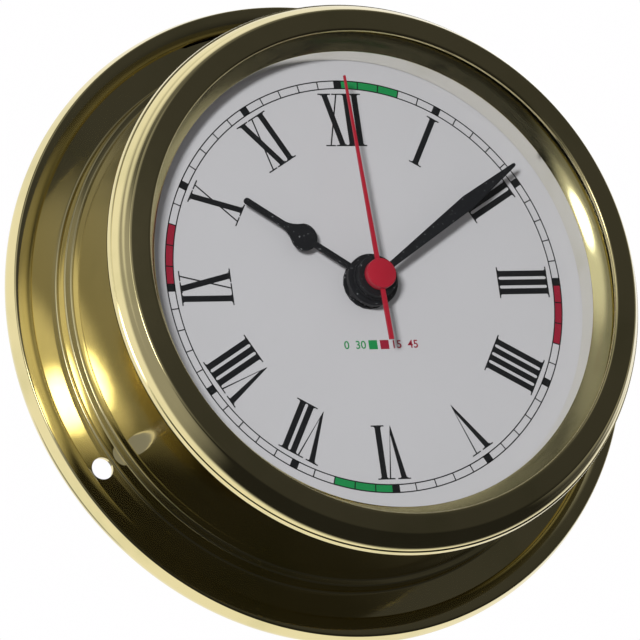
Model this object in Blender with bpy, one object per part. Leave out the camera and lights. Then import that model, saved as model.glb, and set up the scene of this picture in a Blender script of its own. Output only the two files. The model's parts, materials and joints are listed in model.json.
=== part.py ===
"""Marine clock for a bulkhead: brass case, screwed bezel, white dial and quartz movement.

The clock stands upright. Its dial faces -Y, 12 o'clock is +Z and the wall is the plane y = 0.
Depths are measured forwards from the wall, so a point at depth d lies at y = -d.
Angles are clock angles: 0 at 12 o'clock, growing clockwise as seen from the front.
Lengths are in millimetres and become metres where the meshes are made.
"""

import math

import bmesh
import bpy
from mathutils import Vector

MM = 0.001

# Clearances and margins
SEAT = 0.3                    # between a piece and what it seats on
RUN = 0.3                     # round and beside what turns
WELD = 0.5                    # how far a fused shape reaches into its base
PAST = 1.0                    # how far a cutter runs past the face that it cuts
MERGE = 0.001                 # points closer than this become one
ROUND = 48                    # sides of the large turned pieces
ROUND_SMALL = 20              # sides of bosses, washers and rods
ROUND_TUBE = 16               # sides of the tubes that carry the hands
ROUND_SCREW = 12              # sides of screws
ROUND_PIN = 10                # sides of arbors and pins

# Glass, bezel and the seat that the bezel screws into, from the glass outwards
GLASS_R = 58.0
GLASS = 1.4
GLASS_GAP = 0.4               # between the second hand's hub and the glass
GASKET = 0.5
GASKET_WIDTH = 0.9
LIP_COVER = 2.4               # how far the bezel's lip covers the glass
LIP = 0.9                     # thickness of the lip
LIP_EDGE = 0.5                # slant of the lip's edge
SKIRT = 1.6                  # wall of the bezel's threaded skirt
SEAT_WALL = 2.0               # wall of the seat ring at its mouth
SEAT_BACK = 0.2               # how far the ring stands back in the barrel's mouth
LEDGE_WIDTH = 5.2
LEDGE = 2.5                   # thickness of the ledge that carries the dial
BEZEL_OVERHANG = 0.1          # bezel past the barrel's mouth
BEAD_WIDTH = 1.3
BEAD_DEPTH = 1.3
BEAD_EDGE = 0.4               # rounding of the bead's edges
CROWN_POWER = 5.0             # how late the crown falls away towards the bead
CROWN_STEPS = 10
RETAINER = 1.3

# Ring between glass and dial: a collar that stands on the dial and a bright slope outside it
REFLECTOR_COLLAR = 6.0        # collar's front edge above the dial
REFLECTOR_INSET = 2.9         # collar's bore inside the bezel's lip
REFLECTOR_WALL = 0.7

# Case: one spun brass shell of barrel, step, flat ring and rolled rim, from the barrel outwards
SHEET = 1.0
BARREL_PAST_DIAL = 5.2
BARREL_FLARE = 1.8            # how much the barrel widens from its step to its mouth
BARREL_STATIONS = 4
STEP_WIDTH = 1.8
STEP_DEPTH = 9.0
STEP_EDGE = 0.5               # rounding of the step's corners
FACE_WIDTH = 5.9              # flat ring that takes the fixing screws
FACE_DEPTH = 4.6
FACE_EDGE = 0.8               # width of the slope from the flat ring up to the rim
FACE_EDGE_SHIFT = 0.3         # how far out that slope lies on the inside of the sheet
RIM_WIDTH = 4.8
RIM_DEPTH = 6.4
RIM_FALL = 0.6                # how much lower the rim is at its inner edge
RIM_ROLL = 2.2                # half width of the roll, which is as high as the rim
RIM_ROLL_STEPS = 5
RIM_ROLL_START = -60          # degrees below its middle where the roll meets the hem
HEM = 1.2                     # width of the flat hem that stands on the wall
FIXING_COUNT = 3
FIXING_HOLE_R = 2.5

# Dial
DIAL_FACE = 30.2
DIAL_PLATE = 1.0
DIAL_SCREW_COUNT = 3
DIAL_SCREW_R = 0.8
DIAL_SCREW_HEAD_R = 1.6
DIAL_SCREW_TOP_R = 1.4        # head's radius at its front
DIAL_SCREW_HEAD = 0.9
DIAL_SCREW_LENGTH = 2.6

# Hands
HOUR_ANGLE = 304.3
MINUTE_ANGLE = 55.7
SECOND_ANGLE = 358.0
HAND_GAP = 0.4                # from one hand's boss to the next
HAND_PLATE = 0.5
HAND_INSET = 0.1              # from a boss's rear face to its blade
HOUR_HAND_LENGTH = 33.9
HOUR_BOSS_R = 6.0
HOUR_BOSS = 1.9
HOUR_STEM = 1.5
HOUR_BULB_AT = 18.1
HOUR_BULB_R = 3.15
HOUR_BULB_ARC = 60            # degrees either side of the bulb's middle
HOUR_BULB_STEP = 20           # degrees from one point of the bulb to the next
HOUR_BULB_TAPER = 4.4         # length over which the bulb runs out into the stem
HOUR_TAPER_STEPS = 4
MINUTE_HAND_LENGTH = 46.4
MINUTE_BOSS_R = 4.7
MINUTE_BOSS = 1.5
MINUTE_ROOT = 1.6
MINUTE_WAIST = 3.5
MINUTE_WAIST_AT = 30.5
MINUTE_TIP = 0.9
SECOND_HAND_LENGTH = 46.4
SECOND_TAIL = 15.0
SECOND_HUB_R = 3.45
SECOND_HUB = 1.8
SECOND_BORE = 1.1             # depth of the blind bore that takes the arbor
SECOND_BLADE_INSET = 0.4
SECOND_ROOT = 1.1
SECOND_TIP = 0.5

# Fixings on the movement's bush
RUBBER_WASHER = 0.8
RUBBER_WASHER_R = 10.0
FLAT_WASHER = 0.4
FLAT_WASHER_R = 5.8
NUT = 1.4
NUT_FLATS = 10.0
BUSH_R = 4.0
BUSH_PROUD = 0.1              # bush past the nut

# Battery, a standard AA cell, and its contacts
CELL_R = 7.25
CELL_LENGTH = 50.4
CELL_NIPPLE_R = 2.7
CELL_NIPPLE = 1.2
CELL_ROOM = 0.55              # above and below the cell in its bay
CONTACT = 0.4
CONTACT_WIDTH = 9.0
CONTACT_SPRING_R = 3.0
CONTACT_SPRING = 1.2

# Movement case
MOVEMENT_WALL = 1.2
COIL_ROOM = 0.6               # above the coil
TRAIN_ROOM_BOTTOM = -16.0
LID_ROOM = 1.4                # behind the rearmost wheel
CLIP = 0.8
CLIP_WIDTH = 8.0
CLIP_LENGTH = 5.0
CLIP_HEIGHTS = (-10.0, 16.0)
CLIP_SET_BACK = 0.15          # each clip and its root inside the face that they join
CLIP_ROOT_INSET = 0.4         # root inside the clip's width
KNOB_R = 5.0
KNOB = 2.7
KNOB_FLUTES = 12
KNOB_FLUTE = 0.5
KNOB_RIB = 0.6                # rib's share of the pitch
KNOB_VALLEY = 0.5             # where the flute is deepest, as a share of the pitch
KNOB_BORE = 1.6               # how far the arbor reaches into the knob

# Arbors, tubes, wheels and pinions
ARBOR_R = 0.5
MINUTE_TUBE_WALL = 0.8
HOUR_TUBE_WALL = 0.5
MOTION_ARBOR_R = 0.9
WHEEL = 0.8
PINION = 1.5
WHEEL_STEP = 1.2              # free depth between one wheel and the next
MINUTE_TUBE_TAIL = 0.8        # tube behind its pinion
CLUTCH_WASHER = 0.2
CLUTCH_WASHER_R = 3.0
CENTRE_HUB_R = 1.6
CENTRE_HUB = 0.7

# Teeth
SECONDS_TEETH = 36
SECONDS_PINION_TEETH = 6
INTERMEDIATE_TEETH = 30
INTERMEDIATE_PINION_TEETH = 6
ROTOR_PINION_TEETH = 6
THIRD_TEETH = 45
THIRD_PINION_TEETH = 6
CENTRE_TEETH = 48
CANNON_TEETH = 8
MOTION_TEETH = 24
MOTION_PINION_TEETH = 8
HOUR_TEETH = 32
TRAIN_MODULE = 0.36
MOTION_MODULE = 0.6
ADDENDUM = 0.7                # shares of the module
DEDENDUM = 1.1
TOOTH_ROOT = 0.40             # shares of the pitch
TOOTH_TIP = 0.16

# Where the arbors stand round each other, as clock angles
INTERMEDIATE_BEARING = 45.0
ROTOR_BEARING = 30.0
THIRD_BEARING = 270.0
MOTION_BEARING = 120.0

# Train plate, motor and electronics
TRAIN_PLATE = 0.8
TRAIN_PLATE_EDGE = 1.7        # plate past its outermost pegs
PILLAR_R = 1.6
PILLAR_PEG_R = 0.8
PILLAR_X = 17.5
PILLAR_LOW = -11.0
PILLAR_HIGH = 7.0
MAGNET_R = 2.6
MAGNET = 2.6
STATOR = 0.8
STATOR_RING = 1.3             # narrowest stator metal round the rotor
STATOR_LEG = 3.0
STATOR_BAR = 2.4
CORE_WIDTH = 2.4
CORE = 1.0
CORE_HEIGHT = 17.0            # height of the coil's axis above the centre arbor
COIL_LENGTH = 17.2
COIL_R = 2.8
COIL_FLANGE_R = 3.2
COIL_FLANGE = 0.8
COIL_TO_RING = 1.2            # between the coil and the stator round the rotor
COIL_TO_LEG = 0.6
BOARD = 0.8
BOARD_SIDE_ROOM = 1.2         # left of the board
BOARD_RIGHT = 0.0
BOARD_LOW = -15.0
BOARD_HIGH = -7.6
BOARD_POST = 1.5
BOARD_POST_R = 1.2
BOARD_POST_INSET = 3.0
CRYSTAL_R = 1.05
CRYSTAL_LENGTH = 6.0
CHIP_R = 2.2
CHIP_TOP_R = 1.5
CHIP = 0.9
CHIP_INSET = 7.0

# Radii that follow, outwards
LIP_R = GLASS_R - LIP_COVER
BEZEL_BORE_R = GLASS_R + SEAT
SKIRT_R = BEZEL_BORE_R + SKIRT
SEAT_BORE_R = SKIRT_R + SEAT
LEDGE_R = SEAT_BORE_R - LEDGE_WIDTH
DIAL_R = SEAT_BORE_R - SEAT
DIAL_SCREW_CIRCLE_R = (SEAT_BORE_R + LEDGE_R) / 2
COLLAR_R = LIP_R - REFLECTOR_INSET
BARREL_FRONT_R = SEAT_BORE_R + SEAT_WALL + SEAT + SHEET
BARREL_REAR_R = BARREL_FRONT_R - BARREL_FLARE
BEZEL_R = BARREL_FRONT_R + BEZEL_OVERHANG
STEP_R = BARREL_REAR_R + STEP_WIDTH
FACE_R = STEP_R + FACE_WIDTH
RIM_INNER_R = FACE_R + FACE_EDGE
FLANGE_R = RIM_INNER_R + RIM_WIDTH
FIXING_CIRCLE_R = (STEP_R + STEP_EDGE + FACE_R) / 2

# Depths that follow, from the dial forwards
SCREW_HEAD_REAR = DIAL_FACE + SEAT
SCREW_HEAD_FRONT = SCREW_HEAD_REAR + DIAL_SCREW_HEAD
FLAT_WASHER_REAR = DIAL_FACE + SEAT
NUT_REAR = FLAT_WASHER_REAR + FLAT_WASHER + SEAT
BUSH_FRONT = NUT_REAR + NUT + BUSH_PROUD
HOUR_HAND_REAR = BUSH_FRONT + RUN
HOUR_HAND_FRONT = HOUR_HAND_REAR + HOUR_BOSS
MINUTE_HAND_REAR = HOUR_HAND_FRONT + HAND_GAP
MINUTE_HAND_FRONT = MINUTE_HAND_REAR + MINUTE_BOSS
SECOND_HAND_REAR = MINUTE_HAND_FRONT + HAND_GAP
GLASS_REAR = SECOND_HAND_REAR + SECOND_HUB + GLASS_GAP
GLASS_FRONT = GLASS_REAR + GLASS
LIP_REAR = GLASS_FRONT + SEAT
CROWN_FRONT = LIP_REAR + LIP
GASKET_REAR = GLASS_REAR - SEAT - GASKET
FLANGE_FRONT = GASKET_REAR - SEAT
FLANGE_REAR = FLANGE_FRONT - REFLECTOR_WALL
BARREL_FRONT = DIAL_FACE + BARREL_PAST_DIAL
BEZEL_REAR = BARREL_FRONT + SEAT
SKIRT_REAR = SCREW_HEAD_FRONT + SEAT

# Radii of the nested tubes, outwards
MINUTE_BORE_R = ARBOR_R + RUN
MINUTE_TUBE_R = MINUTE_BORE_R + MINUTE_TUBE_WALL
HOUR_BORE_R = MINUTE_TUBE_R + RUN
HOUR_TUBE_R = HOUR_BORE_R + HOUR_TUBE_WALL
BUSH_BORE_R = HOUR_TUBE_R + RUN
BUSH_CLEARANCE_R = BUSH_R + SEAT

# Depths that follow, from the dial backwards
DIAL_REAR = DIAL_FACE - DIAL_PLATE
LEDGE_FRONT = DIAL_REAR - SEAT
RUBBER_FRONT = DIAL_REAR - SEAT
RUBBER_REAR = RUBBER_FRONT - RUBBER_WASHER
TRAY_FRONT = RUBBER_REAR - SEAT
TRAY_INNER = TRAY_FRONT - MOVEMENT_WALL
ARBOR_FRONT = TRAY_INNER - RUN
HOUR_WHEEL_REAR = TRAY_INNER - RUN - WHEEL
CANNON_FRONT = HOUR_WHEEL_REAR - RUN
CANNON_REAR = CANNON_FRONT - PINION
PINION_OVER = (PINION - WHEEL) / 2
MOTION_WHEEL_REAR = CANNON_REAR + PINION_OVER
MINUTE_TUBE_REAR = CANNON_REAR - MINUTE_TUBE_TAIL
CLUTCH_REAR = MINUTE_TUBE_REAR - SEAT - CLUTCH_WASHER
CENTRE_REAR = CLUTCH_REAR - SEAT - WHEEL
TRAIN_PLATE_FRONT = CENTRE_REAR - CENTRE_HUB - RUN
TRAIN_PLATE_REAR = TRAIN_PLATE_FRONT - TRAIN_PLATE
THIRD_REAR = TRAIN_PLATE_REAR - RUN - PINION_OVER - WHEEL
SECONDS_REAR = THIRD_REAR - WHEEL_STEP - WHEEL
INTERMEDIATE_REAR = SECONDS_REAR - WHEEL_STEP - WHEEL
LID_INNER = INTERMEDIATE_REAR - LID_ROOM
LID_REAR = LID_INNER - MOVEMENT_WALL
TRAY_REAR = LID_INNER + SEAT
ARBOR_REAR = LID_INNER + RUN
KNOB_FRONT = LID_REAR - RUN
KNOB_REAR = KNOB_FRONT - KNOB
MAGNET_REAR = TRAIN_PLATE_REAR - 2 * RUN - MAGNET
STATOR_REAR = MAGNET_REAR + (MAGNET - STATOR) / 2
STATOR_FRONT = STATOR_REAR + STATOR
CORE_REAR = STATOR_FRONT + SEAT
COIL_DEPTH = CORE_REAR + CORE / 2
BOARD_REAR = LID_INNER + BOARD_POST + SEAT
BOARD_FRONT = BOARD_REAR + BOARD

# Widths and heights of the movement case, from the cell outwards
CONTACT_OUT = CONTACT_SPRING + 2 * CONTACT + 4 * SEAT
BAY_HALF = (CELL_LENGTH + CONTACT_OUT) / 2
BOARD_LEFT = BOARD_SIDE_ROOM - BAY_HALF
MOVEMENT_HALF = BAY_HALF + MOVEMENT_WALL
MOVEMENT_TOP = CORE_HEIGHT + COIL_FLANGE_R + COIL_ROOM + MOVEMENT_WALL
CELL_RIGHT = BAY_HALF - CONTACT - 2 * SEAT
CELL_LEFT = CELL_RIGHT - CELL_LENGTH
BAY_TOP = TRAIN_ROOM_BOTTOM - MOVEMENT_WALL
BAY_BOTTOM = BAY_TOP - 2 * (CELL_R + CELL_ROOM)
MOVEMENT_BOTTOM = BAY_BOTTOM - MOVEMENT_WALL
CELL_HEIGHT = (BAY_BOTTOM + BAY_TOP) / 2
CELL_DEPTH = TRAY_INNER - SEAT - CELL_R


def mesh_distance(module, wheel_teeth, pinion_teeth):
    """Distance between the arbors of a wheel and a pinion in mesh."""
    return module * (wheel_teeth + pinion_teeth) / 2


def at_clock_angle(radius, degrees, start=(0.0, 0.0)):
    """Point (x, z) at a clock angle and a distance from a start point."""
    angle = math.radians(degrees)
    return (start[0] + radius * math.sin(angle), start[1] + radius * math.cos(angle))


# Arbors, and the modules of the wheels that share a centre distance
CENTRE_AT = (0.0, 0.0)
TRAIN_DISTANCE = mesh_distance(TRAIN_MODULE, THIRD_TEETH, SECONDS_PINION_TEETH)
CENTRE_MODULE = 2 * TRAIN_DISTANCE / (CENTRE_TEETH + THIRD_PINION_TEETH)
MOTION_DISTANCE = mesh_distance(MOTION_MODULE, MOTION_TEETH, CANNON_TEETH)
HOUR_MODULE = 2 * MOTION_DISTANCE / (HOUR_TEETH + MOTION_PINION_TEETH)
INTERMEDIATE_DISTANCE = mesh_distance(TRAIN_MODULE, SECONDS_TEETH, INTERMEDIATE_PINION_TEETH)
ROTOR_DISTANCE = mesh_distance(TRAIN_MODULE, INTERMEDIATE_TEETH, ROTOR_PINION_TEETH)
INTERMEDIATE_AT = at_clock_angle(INTERMEDIATE_DISTANCE, INTERMEDIATE_BEARING)
ROTOR_AT = at_clock_angle(ROTOR_DISTANCE, ROTOR_BEARING, INTERMEDIATE_AT)
THIRD_AT = at_clock_angle(TRAIN_DISTANCE, THIRD_BEARING)
MOTION_AT = at_clock_angle(MOTION_DISTANCE, MOTION_BEARING)
STATOR_REACH = MAGNET_R + RUN + STATOR_RING
COIL_RIGHT = ROTOR_AT[0] - STATOR_REACH - COIL_TO_RING
COIL_LEFT = COIL_RIGHT - COIL_LENGTH
LEG_RIGHT = COIL_LEFT - COIL_TO_LEG
LEG_LEFT = LEG_RIGHT - STATOR_LEG
PILLARS = [(side * PILLAR_X, height) for side in (-1, 1) for height in (PILLAR_LOW, PILLAR_HIGH)]


def clear_scene():
    """Remove every object that the file starts with."""
    for item in list(bpy.data.objects):
        bpy.data.objects.remove(item, do_unlink=True)


def make_material(name, colour, roughness, metallic=0.0, alpha=1.0):
    """Make one Principled material."""
    material = bpy.data.materials.new(name)
    material.use_nodes = True
    shader = material.node_tree.nodes["Principled BSDF"]
    shader.inputs["Base Color"].default_value = (*colour, 1.0)
    shader.inputs["Roughness"].default_value = roughness
    shader.inputs["Metallic"].default_value = metallic
    shader.inputs["Alpha"].default_value = alpha
    return material


def make_axis(name, centre=CENTRE_AT, parent=None):
    """Empty on an axis square to the dial; it carries the pieces that turn together."""
    axis = bpy.data.objects.new(name, None)
    bpy.context.collection.objects.link(axis)
    axis.empty_display_size = KNOB_R * MM
    axis.location = (centre[0] * MM, 0.0, centre[1] * MM)
    axis.parent = parent
    return axis


def finish_object(name, shape, material, parent=None, smooth=True):
    """Close a bmesh into a named object with its faces pointing out."""
    bmesh.ops.remove_doubles(shape, verts=shape.verts, dist=MERGE * MM)
    bmesh.ops.recalc_face_normals(shape, faces=shape.faces)
    mesh = bpy.data.meshes.new(name)
    shape.to_mesh(mesh)
    shape.free()
    if smooth:
        mesh.shade_smooth()
        mesh.set_sharp_from_angle(angle=math.radians(30))
    item = bpy.data.objects.new(name, mesh)
    item.data.materials.append(material)
    bpy.context.collection.objects.link(item)
    item.parent = parent
    return item


def turned(name, profile, material, sides=ROUND, parent=None, centre=CENTRE_AT):
    """Spin a closed profile of (radius, depth) points about an axis square to the dial."""
    shape = bmesh.new()
    points = [shape.verts.new((radius * MM, -depth * MM, 0.0)) for radius, depth in profile]
    edges = []
    for start, end in zip(points, points[1:] + points[:1]):
        if start.co.x > 0 or end.co.x > 0:
            edges.append(shape.edges.new((start, end)))
    bmesh.ops.spin(shape, geom=points + edges, cent=(0, 0, 0), axis=(0, 1, 0), angle=2 * math.pi,
                   steps=sides, use_duplicate=False)
    item = finish_object(name, shape, material, parent)
    item.location = (centre[0] * MM, 0.0, centre[1] * MM)
    return item


def rod(name, radius, rear, front, material, sides=ROUND_PIN, parent=None, centre=CENTRE_AT):
    """Plain round rod square to the dial."""
    profile = [(0.0, rear), (radius, rear), (radius, front), (0.0, front)]
    return turned(name, profile, material, sides, parent, centre)


def tube(name, bore, radius, rear, front, material, sides=ROUND_SMALL, parent=None):
    """Plain round tube or washer on the centre line."""
    profile = [(bore, rear), (radius, rear), (radius, front), (bore, front)]
    return turned(name, profile, material, sides, parent)


def extruded(name, outline, rear, front, material, parent=None):
    """Extrude an outline of (x, z) points from one depth to another."""
    shape = bmesh.new()
    face = shape.faces.new([shape.verts.new((x * MM, -rear * MM, z * MM)) for x, z in outline])
    moved = bmesh.ops.extrude_face_region(shape, geom=[face])["geom"]
    corners = [part for part in moved if isinstance(part, bmesh.types.BMVert)]
    bmesh.ops.translate(shape, verts=corners, vec=Vector((0, -(front - rear) * MM, 0)))
    return finish_object(name, shape, material, parent, smooth=False)


def block(name, left, right, low, high, rear, front, material):
    """Rectangular block from its two x, two z and two depth limits."""
    outline = [(left, low), (right, low), (right, high), (left, high)]
    return extruded(name, outline, rear, front, material)


def lying_rod(name, radius, left, right, height, depth, material, sides=ROUND_SMALL):
    """Round rod that lies along X."""
    shape = bmesh.new()
    bmesh.ops.create_cone(shape, cap_ends=True, segments=sides, radius1=radius * MM, radius2=radius * MM,
                          depth=(right - left) * MM)
    item = finish_object(name, shape, material)
    item.rotation_euler = (0.0, math.pi / 2, 0.0)
    item.location = ((left + right) / 2 * MM, -depth * MM, height * MM)
    return item


def combine(target, operation, tools):
    """Add one Boolean modifier for each tool and take the tools out of the build."""
    for tool in tools:
        modifier = target.modifiers.new(f"{operation.lower()}_{tool.name}", "BOOLEAN")
        modifier.operation = operation
        modifier.object = tool
        tool.hide_render = True
        tool.display_type = "WIRE"


def fuse(target, *tools):
    """Join tools to a piece."""
    combine(target, "UNION", tools)


def cut(target, *tools):
    """Cut tools out of a piece."""
    combine(target, "DIFFERENCE", tools)


def off_edges(tool, sides):
    """Turn a round tool by half a side of its round base, so that no corner of it meets an edge there."""
    tool.rotation_euler.y += math.pi / sides
    return tool


def oval(centre_r, centre_depth, half_r, half_depth, start, end, steps):
    """Points of an oval in a profile; 0 degrees points outwards and 90 degrees forwards."""
    angles = [math.radians(start + (end - start) * step / steps) for step in range(steps + 1)]
    return [(centre_r + half_r * math.cos(a), centre_depth + half_depth * math.sin(a)) for a in angles]


def barrel_radius(depth):
    """Outer radius of the barrel, which flares by a parabola towards its mouth."""
    share = (depth - STEP_DEPTH) / (BARREL_FRONT - STEP_DEPTH)
    return BARREL_REAR_R + BARREL_FLARE * share ** 2


def barrel_line(rear, front, inset, steps):
    """Profile points along the barrel's wall, inset from its outside."""
    depths = [rear + (front - rear) * step / steps for step in range(steps + 1)]
    return [(barrel_radius(depth) - inset, depth) for depth in depths]


def make_case(brass):
    """Spun shell: hem, rolled rim, flat ring with the fixing holes, step and flared barrel."""
    roll_r = FLANGE_R - RIM_ROLL
    roll_depth = RIM_DEPTH / 2
    hem_r = roll_r + HEM / 2
    slope_depth = RIM_DEPTH - RIM_FALL
    outside = [(hem_r, 0.0)]
    outside += oval(roll_r, roll_depth, RIM_ROLL, roll_depth, RIM_ROLL_START, 90, RIM_ROLL_STEPS)
    outside += [(RIM_INNER_R, slope_depth), (FACE_R, FACE_DEPTH)]
    outside += [(STEP_R + STEP_EDGE, FACE_DEPTH), (STEP_R, FACE_DEPTH + STEP_EDGE)]
    outside += [(STEP_R, STEP_DEPTH - STEP_EDGE), (STEP_R - STEP_EDGE, STEP_DEPTH)]
    outside += [(barrel_radius(STEP_DEPTH) + STEP_EDGE, STEP_DEPTH)]
    outside += barrel_line(STEP_DEPTH + STEP_EDGE, BARREL_FRONT, 0.0, BARREL_STATIONS)

    inside = barrel_line(BARREL_FRONT, STEP_DEPTH - SHEET, SHEET, BARREL_STATIONS)
    inside += [(STEP_R - SHEET, STEP_DEPTH - SHEET), (STEP_R - SHEET, FACE_DEPTH - SHEET)]
    inside += [(FACE_R + FACE_EDGE_SHIFT, FACE_DEPTH - SHEET)]
    inside += [(RIM_INNER_R + FACE_EDGE_SHIFT, slope_depth - SHEET)]
    inside += oval(roll_r, roll_depth, RIM_ROLL - SHEET, roll_depth - SHEET, 90, RIM_ROLL_START,
                   RIM_ROLL_STEPS)
    inside += [(hem_r - HEM, SHEET), (hem_r - HEM, 0.0)]
    case = turned("case_body", outside + inside, brass)
    for number in range(FIXING_COUNT):
        centre = at_clock_angle(FIXING_CIRCLE_R, 360.0 * number / FIXING_COUNT)
        hole = rod(f"fixing_hole_{number + 1}", FIXING_HOLE_R, FACE_DEPTH - SHEET - PAST, FACE_DEPTH + PAST,
                   brass, ROUND_SMALL, centre=centre)
        cut(case, off_edges(hole, ROUND_SMALL))


def make_dial_seat(brass, dial_white, steel):
    """Ring inside the barrel's mouth, the dial on its ledge and the screws that hold the dial."""
    ring_rear = LEDGE_FRONT - LEDGE
    ring_front = BARREL_FRONT - SEAT_BACK
    profile = [(LEDGE_R, ring_rear)]
    profile += barrel_line(ring_rear, ring_front, SHEET + SEAT, BARREL_STATIONS // 2)
    profile += [(SEAT_BORE_R, ring_front), (SEAT_BORE_R, LEDGE_FRONT), (LEDGE_R, LEDGE_FRONT)]
    ring = turned("seat_ring", profile, brass)
    dial = tube("dial_plate", BUSH_CLEARANCE_R, DIAL_R, DIAL_REAR, DIAL_FACE, dial_white, ROUND)
    tip = SCREW_HEAD_REAR - DIAL_SCREW_LENGTH
    for number in range(DIAL_SCREW_COUNT):
        centre = at_clock_angle(DIAL_SCREW_CIRCLE_R, 360.0 * (number + 0.5) / DIAL_SCREW_COUNT)
        hole = rod(f"dial_screw_hole_{number + 1}", DIAL_SCREW_R + SEAT, tip - SEAT, SCREW_HEAD_REAR, steel,
                   centre=centre)
        cut(dial, hole)
        cut(ring, hole)
        profile = [(0.0, tip), (DIAL_SCREW_R, tip), (DIAL_SCREW_R, SCREW_HEAD_REAR)]
        profile += [(DIAL_SCREW_HEAD_R, SCREW_HEAD_REAR), (DIAL_SCREW_TOP_R, SCREW_HEAD_FRONT)]
        profile += [(0.0, SCREW_HEAD_FRONT)]
        turned(f"dial_screw_{number + 1}", profile, steel, ROUND_SCREW, centre=centre)


def make_bezel(brass, turn_axis):
    """Bezel ring: bead, convex front, lip over the glass and the skirt that screws into the seat."""
    bead_r = BEZEL_R - BEAD_WIDTH
    bead_front = BEZEL_REAR + BEAD_DEPTH
    crown_r = LIP_R + LIP_EDGE
    profile = [(BEZEL_R - BEAD_EDGE, BEZEL_REAR), (BEZEL_R, BEZEL_REAR + BEAD_EDGE)]
    profile += [(BEZEL_R - BEAD_EDGE, bead_front - BEAD_EDGE / 2), (bead_r, bead_front)]
    for step in range(1, CROWN_STEPS + 1):
        share = 1.0 - step / CROWN_STEPS
        profile.append((crown_r + (bead_r - crown_r) * share,
                        CROWN_FRONT - (CROWN_FRONT - bead_front) * share ** CROWN_POWER))
    profile += [(LIP_R, LIP_REAR), (BEZEL_BORE_R, LIP_REAR)]
    profile += [(BEZEL_BORE_R, SKIRT_REAR), (SKIRT_R, SKIRT_REAR), (SKIRT_R, BEZEL_REAR)]
    turned("bezel_ring", profile, brass, parent=turn_axis)


def make_glazing(brass, glass, rubber, turn_axis, travel_axis):
    """Glass with its gasket, the bright ring behind it and the ring that retains them."""
    rod("glass", GLASS_R, GLASS_REAR, GLASS_FRONT, glass, ROUND, travel_axis)
    gasket_bore = GLASS_R - GASKET_WIDTH
    tube("glass_gasket", gasket_bore, GLASS_R, GASKET_REAR, GASKET_REAR + GASKET, rubber, ROUND, travel_axis)

    edge = DIAL_FACE + REFLECTOR_COLLAR
    slope_r = gasket_bore - SEAT
    slope = (FLANGE_FRONT - edge) / (slope_r - COLLAR_R)
    wall_depth = REFLECTOR_WALL * math.hypot(1.0, slope)
    outer_r = COLLAR_R + REFLECTOR_WALL
    web_r = COLLAR_R + (FLANGE_REAR + wall_depth - edge) / slope
    profile = [(COLLAR_R, DIAL_FACE + SEAT), (COLLAR_R, edge), (slope_r, FLANGE_FRONT)]
    profile += [(GLASS_R, FLANGE_FRONT), (GLASS_R, FLANGE_REAR), (web_r, FLANGE_REAR)]
    profile += [(outer_r, edge + slope * REFLECTOR_WALL - wall_depth), (outer_r, DIAL_FACE + SEAT)]
    turned("reflector_ring", profile, brass, parent=turn_axis)
    front = FLANGE_REAR - SEAT
    tube("retaining_ring", web_r, GLASS_R, front - RETAINER, front, brass, ROUND, turn_axis)


def hand_outline(stations):
    """Closed outline from (distance along the hand, half width) pairs, tail first."""
    right = [(half, along) for along, half in stations]
    left = [(-half, along) for along, half in reversed(stations) if half > 0]
    return right + left


def hour_outline():
    """Stem, round bulb and its hollow taper into the outer stem, which ends round."""
    stem = HOUR_STEM / 2
    stations = [(0.0, stem), (HOUR_BULB_AT - HOUR_BULB_R, stem)]
    for degrees in range(-HOUR_BULB_ARC, HOUR_BULB_ARC + 1, HOUR_BULB_STEP):
        angle = math.radians(degrees)
        stations.append((HOUR_BULB_AT + HOUR_BULB_R * math.sin(angle), HOUR_BULB_R * math.cos(angle)))
    taper_from, half_from = stations[-1]
    for step in range(1, HOUR_TAPER_STEPS + 1):
        share = step / HOUR_TAPER_STEPS
        stations.append((taper_from + HOUR_BULB_TAPER * share, stem + (half_from - stem) * (1 - share) ** 2))
    shoulder = stem * math.sqrt(0.5)
    stations += [(HOUR_HAND_LENGTH - stem, stem), (HOUR_HAND_LENGTH - stem + shoulder, shoulder)]
    stations.append((HOUR_HAND_LENGTH, 0.0))
    return hand_outline(stations)


def minute_outline():
    """Narrow at the boss, widest past the middle, then a long taper to a small blunt tip."""
    stations = [(0.0, MINUTE_ROOT / 2), (MINUTE_BOSS_R + MINUTE_ROOT, MINUTE_ROOT / 2)]
    stations += [(MINUTE_WAIST_AT, MINUTE_WAIST / 2), (MINUTE_HAND_LENGTH - MINUTE_TIP / 2, MINUTE_TIP / 2)]
    stations += [(MINUTE_HAND_LENGTH, MINUTE_TIP / 4)]
    return hand_outline(stations)


def second_outline():
    """Slim pointer with a short tail."""
    return hand_outline([(-SECOND_TAIL, SECOND_ROOT / 2), (0.0, SECOND_ROOT / 2),
                         (SECOND_HAND_LENGTH, SECOND_TIP / 2)])


def make_hand(name, outline, angle, boss, blade_rear, bore, material, axis):
    """Flat hand on a round boss, turned to its clock angle.

    boss is (radius, rear, front) and bore is (radius, front).
    """
    radius, rear, front = boss
    bore_r, bore_front = bore
    hand = rod(name, radius, rear, front, material, ROUND_SMALL, axis)
    blade = extruded(f"{name}_blade", outline, blade_rear, blade_rear + HAND_PLATE, material, axis)
    hole = rod(f"{name}_bore", bore_r, rear - PAST, bore_front, material, ROUND_SMALL, axis)
    for item in (hand, blade, hole):
        item.rotation_euler = (0.0, math.radians(angle), 0.0)
    fuse(hand, blade)
    cut(hand, off_edges(hole, ROUND_SMALL))


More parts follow.
